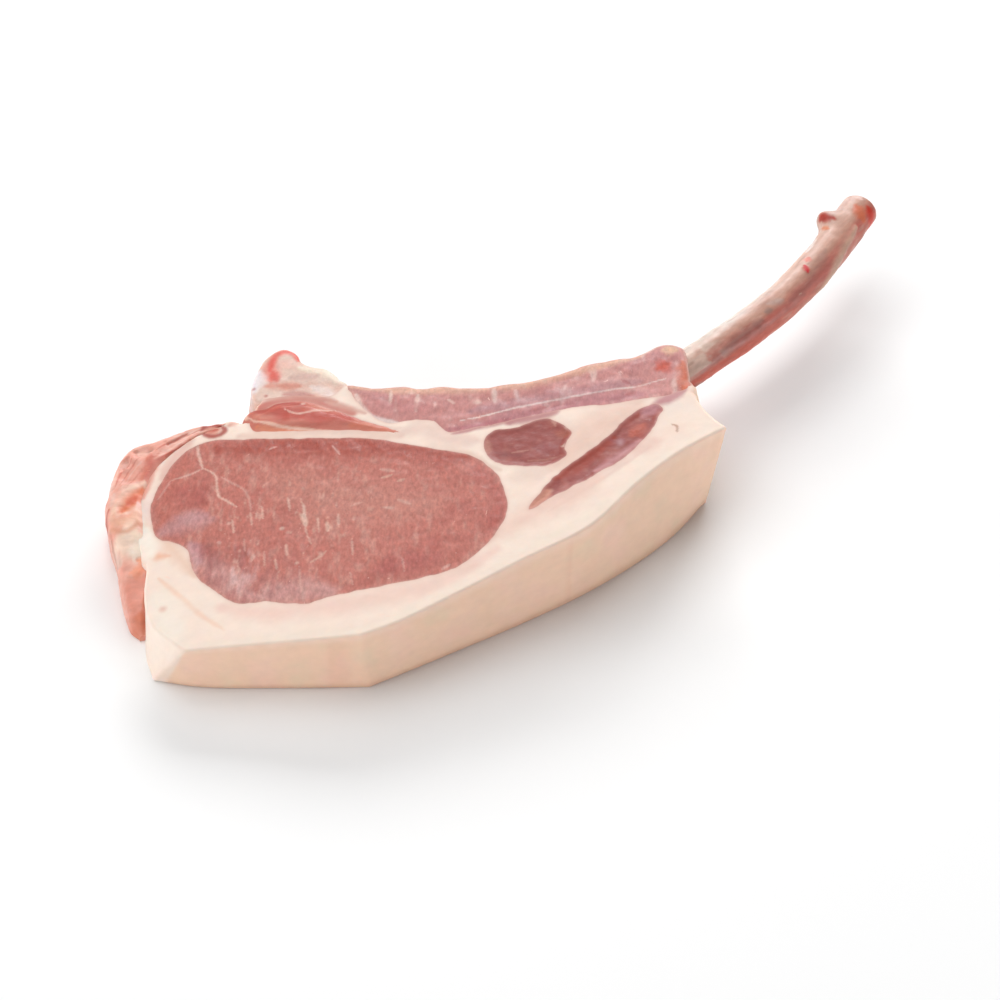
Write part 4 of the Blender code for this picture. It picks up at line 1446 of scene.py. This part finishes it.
        places = np.vstack([top, floor, wall.reshape(-1, 3)])
        seam_ring = np.unique(edges[~free]) if (~free).any() else used[:1]
        seam_far = nearest(self.points[used], self.points[seam_ring])[0]
        wall_far = nearest(self.points[ring], self.points[seam_ring])[0] if len(ring) else np.zeros(0)
        seam = np.concatenate([seam_far, seam_far, np.tile(wall_far, len(wall))])
        inner = ramp(seam, 0.2, 2.2)
        face_height = self.face.height(places)
        side = np.concatenate([np.zeros(2 * count), np.ones(wall.size // 3)])
        side = side * ramp(face_height - places[:, 2], 0.05, 0.7)
        tint = tissue.tint(places, places[:, 2] / face_height, side, seam)
        piece = make_piece(tissue.node + "_meat", places, faces, {"tint": tint, "inner": inner})
        return dress(piece, tissue.finish, tissue.node)


# ---------------------------------------------------------------- flap and bone

@dataclass
class BellyFlap:
    """The loose flap at the backbone end: lobes of lean and fat that sag to the floor.

    Its profiles are given as shares of the way from its back to its tail, and the values
    there.

    Attributes:
        node: The solid.
        stations: Sections along the flap.
        around: Points across a section.
        fall: Height as a share of the cut face's height.
        tuck: How far the inner outline reaches below the slice, in millimetres.
        trim: How far the outer outline is drawn in, in millimetres.
        boxy: Power that shapes the section; the smaller, the squarer its shoulder.
        rise: Lift of the shoulder over the cut face, in millimetres.
        mottles: What varies its even colour.
        marks: Its painted streaks and lobes.
    """

    node: str = "chain_lean"
    stations: int = 230
    around: int = 90
    fall: tuple = ((0.0, 0.58, 0.66, 0.74, 0.9, 1.0), (1.0, 1.0, 0.95, 0.84, 0.58, 0.4))
    tuck: tuple = ((0.0, 0.35, 0.58, 0.7, 1.0), (0.6, 0.8, 3.2, 2.4, 1.8))
    trim: tuple = ((0.56, 0.68, 0.85, 0.96), (0.0, 1.3, 1.2, 0.3))
    boxy: tuple = ((0.0, 0.2, 0.3, 0.42, 0.58, 0.7, 1.0), (0.6, 0.5, 0.36, 0.42, 0.34, 0.5, 0.62))
    rise: tuple = ((0.0, 0.42, 0.54, 0.64, 0.72, 1.0), (0.25, 0.3, 1.0, 1.0, 0.3, 0.25))
    mottles = (Mottle("f4c0ae", 0.6, 4.0, 103), Mottle("d98575", 0.5, 3.0, 104, (0.1, 0.6)))
    # Strips and lobes at the back, the orange fold, the cream patch, then the tail.
    marks = (
        patch("f3cabc", 0.8, 0.9, (30.4, 66.5), (25.7, 65.9), (21.4, 65.0), (15.7, 60.7), soft=0.9,
              lift=0.5),
        patch("e59a86", 0.9, 2.2, (25.7, 65.8), (29.4, 66.0), soft=0.8),
        patch("b04a40", 0.9, 0.8, (24.4, 65.4), (25.3, 66.9), (27.3, 67.6), (29.7, 66.7), soft=0.8),
        patch("f2b8a8", 0.8, 1.0, (20.9, 64.6), (16.7, 59.9), (13.3, 56.6), soft=0.9, lift=0.3),
        patch("cd6656", 0.8, 0.45, (21.7, 62.0), (18.1, 58.6), (14.8, 55.8), (11.6, 52.1), (10.5, 46.8),
              (9.9, 43.6), soft=0.9, lift=-0.2),
        vein("cf6c5c", 0.75, 0.32, (20.6, 65.1), (16.4, 61.6), (12.4, 58.6)),
        vein("f8d0c3", 0.8, 0.28, (21.3, 62.9), (17.1, 59.3), (13.7, 56.2)),
        vein("d27a6b", 0.6, 0.3, (24.8, 66.2), (21.6, 64.8)),
        patch("f5bfae", 0.8, 1.8, (10.7, 59.0), (6.6, 58.6), lift=1.2),
        patch("d9816f", 0.7, 0.6, (11.5, 56.6), (10.4, 54.7), soft=0.9, lift=-0.4),
        patch("f2bfb0", 0.8, 1.5, (4.4, 56.2), (3.4, 53.0), lift=1.4),
        patch("efa896", 0.75, 3.4, (6.8, 53.0), (5.1, 47.4), lift=0.8),
        vein("d27d6f", 0.6, 0.24, (8.3, 56.3), (5.8, 52.0), (3.6, 45.7)),
        vein("d27d6f", 0.6, 0.24, (11.5, 54.1), (8.6, 50.5), (5.7, 44.1)),
        vein("f3bfb0", 0.7, 0.24, (9.8, 55.3), (6.9, 51.5), (4.5, 44.6)),
        patch("db7a66", 0.8, 1.3, (11.5, 56.6), (10.5, 51.8), (9.6, 47.1)),
        vein("f8cfba", 0.9, 3.5, (10.2, 45.4), (7.4, 39.9), (4.1, 34.3)),
        patch("ea7a50", 0.95, 2.1, (9.9, 43.6), (7.8, 38.9), (5.5, 35.0), soft=0.95, lift=0.5),
        patch("dc6041", 0.8, 1.1, (9.0, 41.4), (6.7, 37.9)),
        patch("c05a49", 0.8, 0.5, (1.8, 36.7), (1.0, 34.8), (1.7, 31.1), soft=0.9),
        patch("efc9bb", 0.7, 0.8, (2.6, 42.4), (2.3, 37.6), soft=0.9),
        patch("f9c3a6", 0.85, 1.8, (3.8, 31.7), (8.1, 31.3), (12.4, 35.3), soft=0.9),
        patch("ffe1cc", 0.97, 4.8, (5.9, 25.5), (9.8, 25.3), (11.8, 25.7), soft=0.8),
        patch("ffeedd", 0.9, 2.6, (9.5, 22.4), (13.0, 22.4)),
        patch("f6d7d4", 0.5, 1.2, (9.6, 38.4), (12.3, 36.0)),
        vein("c98f7d", 0.75, 0.36, (3.0, 28.1), (3.8, 25.2), (5.5, 19.8)),
        patch("e6c6b6", 0.7, 0.8, (4.6, 24.0), (6.5, 19.5), soft=0.9),
        patch("e89b88", 0.85, 3.4, (11.5, 14.0), (9.3, 9.1), (11.5, 2.8), soft=0.9, lift=0.4),
        patch("f9ab8c", 0.9, 1.1, (11.5, 19.8), (13.3, 19.1), soft=0.9, lift=0.4),
        patch("fca685", 0.85, 1.6, (9.9, 16.3), (12.9, 16.6)),
        patch("df8f78", 0.6, 0.6, (14.0, 8.6), (13.8, 4.6), (14.1, 2.1)),
        patch("f3bdad", 0.7, 0.8, (6.9, 14.7), (6.5, 13.3), (8.7, 6.2)),
        vein("d9786a", 0.6, 0.3, (13.8, 58.0), (11.3, 53.8), (10.7, 49.4)),
        vein("d9786a", 0.6, 0.3, (5.9, 55.6), (3.4, 51.4), (2.5, 45.3)),
        patch("f6c5b6", 0.7, 0.5, (2.3, 53.2), (1.5, 47.6), (1.4, 41.6), soft=0.9),
        patch("f3b79f", 0.8, 1.2, (3.3, 34.1), (4.0, 29.5)),
        patch("e39f82", 0.7, 0.7, (12.3, 36.7), (10.4, 30.5), (7.4, 28.1), (2.6, 30.3)),
        patch("d88266", 0.85, 1.7, (13.2, 4.3), (12.5, 1.4)),
    )

    def grid(self, face: CutFace) -> tuple[Array, Array]:
        """Carry a shouldered section from the back of the flap to its tail.

        Across, a place runs from the inner outline to the outer one by sine^boxy; its
        height is the flap's height times cosine^boxy.  Both outlines meet at the tail.

        Args:
            face: The cut face, whose height the flap has at its back.

        Returns:
            Places of shape (stations, around, 3), and the inner outline in plan.
        """
        loop = face_loop(self.node, None)
        ways = ((1.0, -0.02), (0.6, -1.0), (-0.5, -1.0), (0.3, 1.0))
        inner, _, outer, _ = stretches(loop, np.array([furthest(loop, way) for way in ways]))
        near = spread(smooth(inner), count=self.stations)
        far = spread(smooth(outer[::-1]), count=self.stations)
        share = np.linspace(0.0, 1.0, self.stations)
        fall, tuck, trim, boxy, rise = (np.interp(share, *profile)[:, None] for profile in (
            self.fall, self.tuck, self.trim, self.boxy, self.rise))
        rounded_off = np.sqrt(1.0 - 0.8 * ramp(share, 0.88, 1.0) ** 2)
        height = face.height(near)[:, None] * fall * rounded_off[:, None]
        closed = np.sqrt(1.0 - 0.96 * ramp(share, 0.945, 1.0) ** 2)
        away = far - near
        away /= np.linalg.norm(away, axis=1)[:, None]
        far = near + (far - near) * closed[:, None] - away * trim
        near = near - away * tuck
        turn = np.linspace(0.0, math.pi / 2, self.around)
        plan = near[:, None] + (far - near)[:, None] * (np.sin(turn) ** boxy)[..., None]
        level = height * np.cos(turn) ** boxy
        from_edge = np.linalg.norm(plan - near[:, None], axis=2)
        shoulder = rise - 1.6 * (1.0 - ramp(from_edge, 0.0, 1.8))
        level = level + shoulder * ramp(level, 1.0, 5.0)
        return np.concatenate([plan, level[..., None]], axis=2), near

    def build(self, face: CutFace) -> bpy.types.Object:
        """Close the grid with a line along the inner outline; marks and noise raise its skin.

        Args:
            face: The cut face.

        Returns:
            The flap.
        """
        skin, near = self.grid(face)
        flat = skin.reshape(-1, 3)
        share = np.linspace(0.0, 1.0, self.stations)
        swell = (lift(flat[:, :2], spot(self.node, 0.0, 0.0), self.marks)
                 + 0.35 * noise(flat, 5.0, 101, 3) + 0.12 * noise(flat, 1.6, 102))
        from_ends = np.repeat(ramp(np.minimum(share, 1 - share), 0.0, 0.03), self.around)
        swell *= ramp(flat[:, 2], 0.3, 3.0) * from_ends
        flat = flat + grid_normals(skin).reshape(-1, 3) * swell[:, None]
        under = np.concatenate([near, np.zeros((self.stations, 1))], axis=1)[:, None]
        flat = np.concatenate([under, flat.reshape(skin.shape)], axis=1).reshape(-1, 3)
        piece = make_piece("chain_lean_flap", flat, tube_faces(self.stations, self.around + 1),
                           {"tint": self.tint(flat), "inner": np.ones(len(flat))})
        return dress(piece, Finishes.folded_lean, self.node)

    def tint(self, places: Array) -> Array:
        """Salmon lean in strips and lobes, with cream fat between the lobes and the tail.

        Args:
            places: Points in millimetres.

        Returns:
            Linear colours.
        """
        colour = mottled("f0ad9c", self.mottles, places)
        sway = 2.2 * ramp(places[:, 2], 9.0, 0.0)[:, None]
        bend = np.column_stack([noise(places, 4.5, 105, 2), noise(places, 4.5, 106, 2)])
        return paint(colour, places[:, :2] + sway * bend, spot(self.node, 0.0, 0.0), self.marks)


@dataclass
class RibBone:
    """The scraped rib bone, carried along the middle line of its solid.

    Attributes:
        node: The solid.
        rows: Rings along the bone.
        around: Points in a ring.
        half_width, half_depth: Half axes of its oval section, in millimetres.
        tip: Length over which each end is rounded.
        knuckle_height: How far the knuckle stands out.
        knuckle_place, knuckle_spread: Its middle and half length as shares of the bone.
        knuckle_turn: Its direction round the bone in degrees.
        marks: Painted stains, whose places are millimetres along and round the bone.
    """

    node: str = "rib_bone"
    rows: int = 380
    around: int = 96
    half_width: float = 5.6
    half_depth: float = 5.1
    tip: float = 2.6
    knuckle_height: float = 3.6
    knuckle_place: float = 0.86
    knuckle_spread: float = 0.03
    knuckle_turn: float = 155.0
    marks = (
        patch("98706a", 0.35, 1.4, (49.2, 4.8), (60.5, 5.1), (71.8, 7.7)),
        patch("8c6a66", 0.45, 1.3, (20.8, 4.0), (30.3, 4.8), (37.4, 5.1)),
        patch("857a78", 0.5, 0.8, (40.0, 6.6), (42.4, 5.9)),
        patch("cbb0a8", 0.6, 1.0, (42.9, 8.1), (47.1, 6.2)),
        patch("93604f", 0.6, 0.9, (6.6, -0.7), (12.9, -2.6)),
        patch("dcb9a3", 0.8, 1.4, (60.3, -0.4), (67.1, 0.4), (71.6, 2.2), (77.6, 3.7), (85.8, 4.4),
              lift=0.4),
        patch("e8dcd8", 0.8, 1.2, (77.4, 15.4), (69.5, 13.2), lift=-0.4),
        patch("ba463b", 0.95, 1.5, (83.7, 14.7), (84.5, 12.8), (84.7, 11.4), soft=0.7),
        patch("e38d6a", 0.9, 0.9, (81.1, 13.9), (80.5, 11.4), soft=0.8),
        patch("d9353f", 0.95, 0.85, (60.8, 7.3), (62.4, 9.2), soft=0.7, lift=0.3),
        patch("e0705f", 0.8, 1.0, (64.2, 9.9), (66.1, 10.3), soft=0.9),
        patch("e2bdb2", 0.85, 1.6, (85.8, 12.1), (93.7, 13.2), (95.0, 10.6), soft=0.9),
        patch("e07a5a", 0.9, 2.0, (93.2, 8.4), (91.8, 6.2), (90.8, 4.0), soft=0.9),
        patch("d8402f", 0.95, 1.7, (95.3, 5.5), (94.5, 2.9), (93.7, -0.4), (91.3, -1.5), soft=0.8),
        patch("eecbc0", 0.9, 0.9, (95.5, 13.2), (96.6, 10.3), (96.6, 8.1), soft=0.9),
        patch("b0564a", 0.8, 1.6, (89.0, -1.5), (84.0, -1.5)),
    )

    def middle_line(self) -> Array:
        """Fit a smooth line to the solid's points: a fourth-degree curve over their long axis.

        Returns:
            Points of the line, from its root to its far end.
        """
        places, _ = solid_mesh(self.node)
        centre = places.mean(axis=0)
        axis = np.linalg.svd(places - centre, full_matrices=False)[2][0]
        axis = axis * np.sign(axis[0])
        along = (places - centre) @ axis
        curves = [np.polyfit(along, column, 4) for column in places.T]
        wanted = np.linspace(along.min(), along.max(), 200)
        return np.column_stack([np.polyval(curve, wanted) for curve in curves])

    def build(self) -> bpy.types.Object:
        """Sweep an oval section with a knuckle near its far end and rounded tips.

        A place is the middle line plus half_width cosine of the turn sideways and
        half_depth sine of the turn upwards.

        Returns:
            The bone.
        """
        line = spread(self.middle_line(), count=self.rows)
        share = np.linspace(0.0, 1.0, self.rows)
        length = np.linalg.norm(np.diff(line, axis=0), axis=1).sum()
        ahead = np.gradient(line, axis=0)
        ahead /= np.linalg.norm(ahead, axis=1)[:, None]
        level = np.cross(ahead, (0.0, 0.0, 1.0))
        level /= np.linalg.norm(level, axis=1)[:, None]
        upright = np.cross(level, ahead)
        turn = np.linspace(1.5 * math.pi, -0.5 * math.pi, self.around, endpoint=False)
        to_end = np.minimum(share, 1.0 - share) * length
        rounded = np.sqrt(1.0 - (1.0 - np.minimum(to_end / self.tip, 1.0)) ** 2 * 0.999)[:, None]
        near_knuckle = np.exp(-((share - self.knuckle_place) / self.knuckle_spread) ** 2)[:, None]
        facing = np.maximum(0.0, np.cos(turn - math.radians(self.knuckle_turn)))[None] ** 4
        knob = self.knuckle_height * near_knuckle * facing
        wide = (self.half_width * rounded + knob) * np.cos(turn)
        deep = (self.half_depth * rounded + knob) * np.sin(turn)
        skin = line[:, None] + wide[..., None] * level[:, None] + deep[..., None] * upright[:, None]
        flat = skin.reshape(-1, 3)
        out = flat - np.repeat(line, self.around, axis=0)
        out /= np.maximum(np.linalg.norm(out, axis=1), 1e-6)[:, None]
        unrolled = np.column_stack([np.repeat(share * length, self.around),
                                    np.tile(turn * self.half_width, self.rows)])
        swell = 0.22 * noise(flat, 7.0, 111, 2) + 0.08 * noise(flat, 2.0, 112)
        swell += lift(unrolled, np.zeros(2), self.marks)
        flat = flat + out * swell[:, None]
        piece = make_piece("rib_bone_shaft", flat, tube_faces(self.rows, self.around),
                           {"tint": self.tint(flat, unrolled), "inner": np.ones(len(flat))})
        return dress(piece, Finishes.scraped_bone, self.node)

    def tint(self, places: Array, unrolled: Array) -> Array:
        """Reddish brown with streaks along the bone; marks lie on its unrolled skin.

        Args:
            places: Points in millimetres.
            unrolled: Their millimetres along and round the bone.

        Returns:
            Linear colours.
        """
        along, across = unrolled.T
        across = across + 1.6 * noise(unrolled * (0.13, 0.55), 1.8, 113, 3)
        bleached = ramp(along, 27.0, 15.0) * ramp(across, 0.5, 4.0)
        patchy = noise(unrolled * (0.45, 1.0), 2.0, 115, 3)
        streak = noise(unrolled * (0.25, 1.0), 1.3, 114, 3)
        colour = flat_colour(len(places), "a05a4e")
        for code, cover in (
                ("d96f5e", ramp(across, -8.0, -3.5)),
                ("cd776b", ramp(across, 0.0, 4.0)),
                ("cb9986", ramp(across, 4.5, 8.0)),
                ("dcae9c", ramp(across, 7.5, 10.5)),
                ("f2e3da", ramp(across, 9.2, 12.2) * (1.0 - 0.8 * ramp(along, 30.0, 62.0))),
                ("bb7264", ramp(across, 16.0, 20.0)),
                ("cf9080", 0.75 * ramp(along, 30.0, 60.0) * ramp(across, 4.0, -2.0)),
                ("e4cdbd", 0.8 * bleached * ramp(patchy, -0.35, 0.35)),
                ("a8968c", 0.5 * bleached * ramp(patchy, -0.05, -0.5)),
                ("dfb9a9", 0.35 * ramp(streak, 0.1, 0.6)),
                ("a8746a", 0.3 * ramp(streak, -0.1, -0.6))):
            colour = blend(colour, code, cover)
        return paint(colour, unrolled, np.zeros(2), self.marks)


# ---------------------------------------------------------------- studio

def place_in_scene(name: str, data: bpy.types.ID) -> bpy.types.Object:
    """Make an object of some data and link it to the scene.

    Args:
        name: Its name.
        data: Mesh, light or camera.

    Returns:
        The object.
    """
    made = bpy.data.objects.new(name, data)
    bpy.context.scene.collection.objects.link(made)
    return made


@dataclass(frozen=True)
class Softbox:
    """A rectangular light, aimed at the chop.

    Attributes:
        name: Its name.
        azimuth: Direction in degrees; 0 is behind the chop, 90 to its right.
        height: Height angle in degrees.
        distance: Metres from the chop.
        size: Width and height in metres.
        power: Watts.
    """

    name: str
    azimuth: float
    height: float
    distance: float
    size: tuple
    power: float

    def hang(self) -> None:
        """Put the light in its place and turn it to the chop."""
        data = bpy.data.lights.new(self.name, "AREA")
        data.shape, data.size, data.size_y, data.energy = "RECTANGLE", *self.size, self.power
        made = place_in_scene(self.name, data)
        turn, rise = math.radians(self.azimuth), math.radians(self.height)
        place = Vector((math.sin(turn) * math.cos(rise), math.cos(turn) * math.cos(rise), math.sin(rise)))
        made.location = place * self.distance
        made.rotation_euler = place.to_track_quat("Z", "Y").to_euler()


@dataclass
class Studio:
    """A white floor under broad soft lights, and the camera.

    Attributes:
        height_angle: Height of the camera over the floor in degrees.
        distance: Its distance from the point it is aimed at, in millimetres.
        lens: Its focal length in millimetres.
        aim: That point of the floor, in millimetres.
        floor_reach: Half the width of the floor in metres.
        sky: Strength of the even white light from all round.
        lights: The softboxes: one behind, a large one overhead, one at each side.
    """

    height_angle: float = 46.0
    distance: float = 661.1
    lens: float = 85.0
    aim: tuple = (-1.93, -15.89)
    floor_reach: float = 9.0
    sky: float = 0.03
    lights: tuple = (
        Softbox("back_light", 7.0, 29.0, 2.4, (1.73, 0.77), 46.5),
        Softbox("top_light", -50.0, 67.0, 2.2, (2.6, 1.8), 39.0),
        Softbox("right_light", 108.0, 11.0, 1.8, (0.8, 0.47), 12.5),
        Softbox("left_light", -130.0, 9.0, 1.8, (2.6, 0.45), 22.0),
    )

    def camera(self) -> None:
        """Place the camera on its height angle, aimed at a point of the floor."""
        angle = math.radians(self.height_angle)
        data = bpy.data.cameras.new("camera")
        data.lens, data.sensor_width = self.lens, 36.0
        data.clip_start, data.clip_end = 0.01, 20.0
        made = place_in_scene("camera", data)
        made.location = (self.aim[0] * MM, (self.aim[1] - self.distance * math.cos(angle)) * MM,
                         self.distance * math.sin(angle) * MM)
        made.rotation_euler = (math.radians(90.0) - angle, 0.0, 0.0)
        bpy.context.scene.camera = made

    def floor(self) -> None:
        """Lay a floor of white paper, matt and without any shine."""
        mesh = bpy.data.meshes.new("floor")
        corners = [(x * self.floor_reach, y * self.floor_reach, 0.0)
                   for x, y in ((-1, -1), (1, -1), (1, 1), (-1, 1))]
        mesh.from_pydata(corners, [], [(0, 1, 2, 3)])
        paper = bpy.data.materials.new("white_paper")
        paper.use_nodes = True
        shader = paper.node_tree.nodes["Principled BSDF"]
        shader.inputs["Base Color"].default_value = (0.96, 0.96, 0.96, 1.0)
        shader.inputs["Roughness"].default_value = 0.9
        shader.inputs["Specular IOR Level"].default_value = 0.0
        mesh.materials.append(paper)
        place_in_scene("floor", mesh)

    def world(self) -> None:
        """Fill from all round with an even white sky."""
        made = bpy.data.worlds.new("white_room")
        made.use_nodes = True
        background = made.node_tree.nodes["Background"]
        background.inputs["Color"].default_value = (1.0, 1.0, 1.0, 1.0)
        background.inputs["Strength"].default_value = self.sky
        bpy.context.scene.world = made

    def build(self) -> None:
        """Set up camera, floor and light."""
        self.camera()
        self.floor()
        for light in self.lights:
            light.hang()
        self.world()
        bpy.context.scene.view_settings.view_transform = "Standard"


def main() -> None:
    """Build the chop and its studio."""
    logging.basicConfig(level=logging.INFO, format="%(message)s")
    Studio().build()
    face = CutFace.of_solid("loin_eye")
    plan = SlicePlan([
        LoinEye(Tissue.EYE, Finishes.loin_lean, "loin_lean", fray=0.3),
        CapMuscle(Tissue.CAP, Finishes.dark_lean, "dark_lean", fray=0.4),
        StripMuscle(Tissue.STRIP, Finishes.dark_lean, "dark_lean", fray=0.35),
        RibLean(Tissue.RIB, Finishes.rib_meat, "rib_lean", fray=0.35, rim=1.6, wobble=0.5, lumps=0.8),
        ChineLean(Tissue.CHINE, Finishes.folded_lean, "chine_lean", fray=0.25, rim=2.0, wobble=0.4),
        BoneStub(Tissue.STUB, Finishes.sawn_bone, "sawn_bone", fray=0.2, rim=1.2, wobble=0.3),
        BackFat(Tissue.FAT, Finishes.back_fat, "raw_fat", rim=0.8, wobble=0.12),
    ], face)
    plan.lay_out()
    plan.shape()
    for number in range(len(plan.tissues)):
        plan.build(number)
    BellyFlap().build(face)
    RibBone().build()


if __name__ == "__main__":
    main()
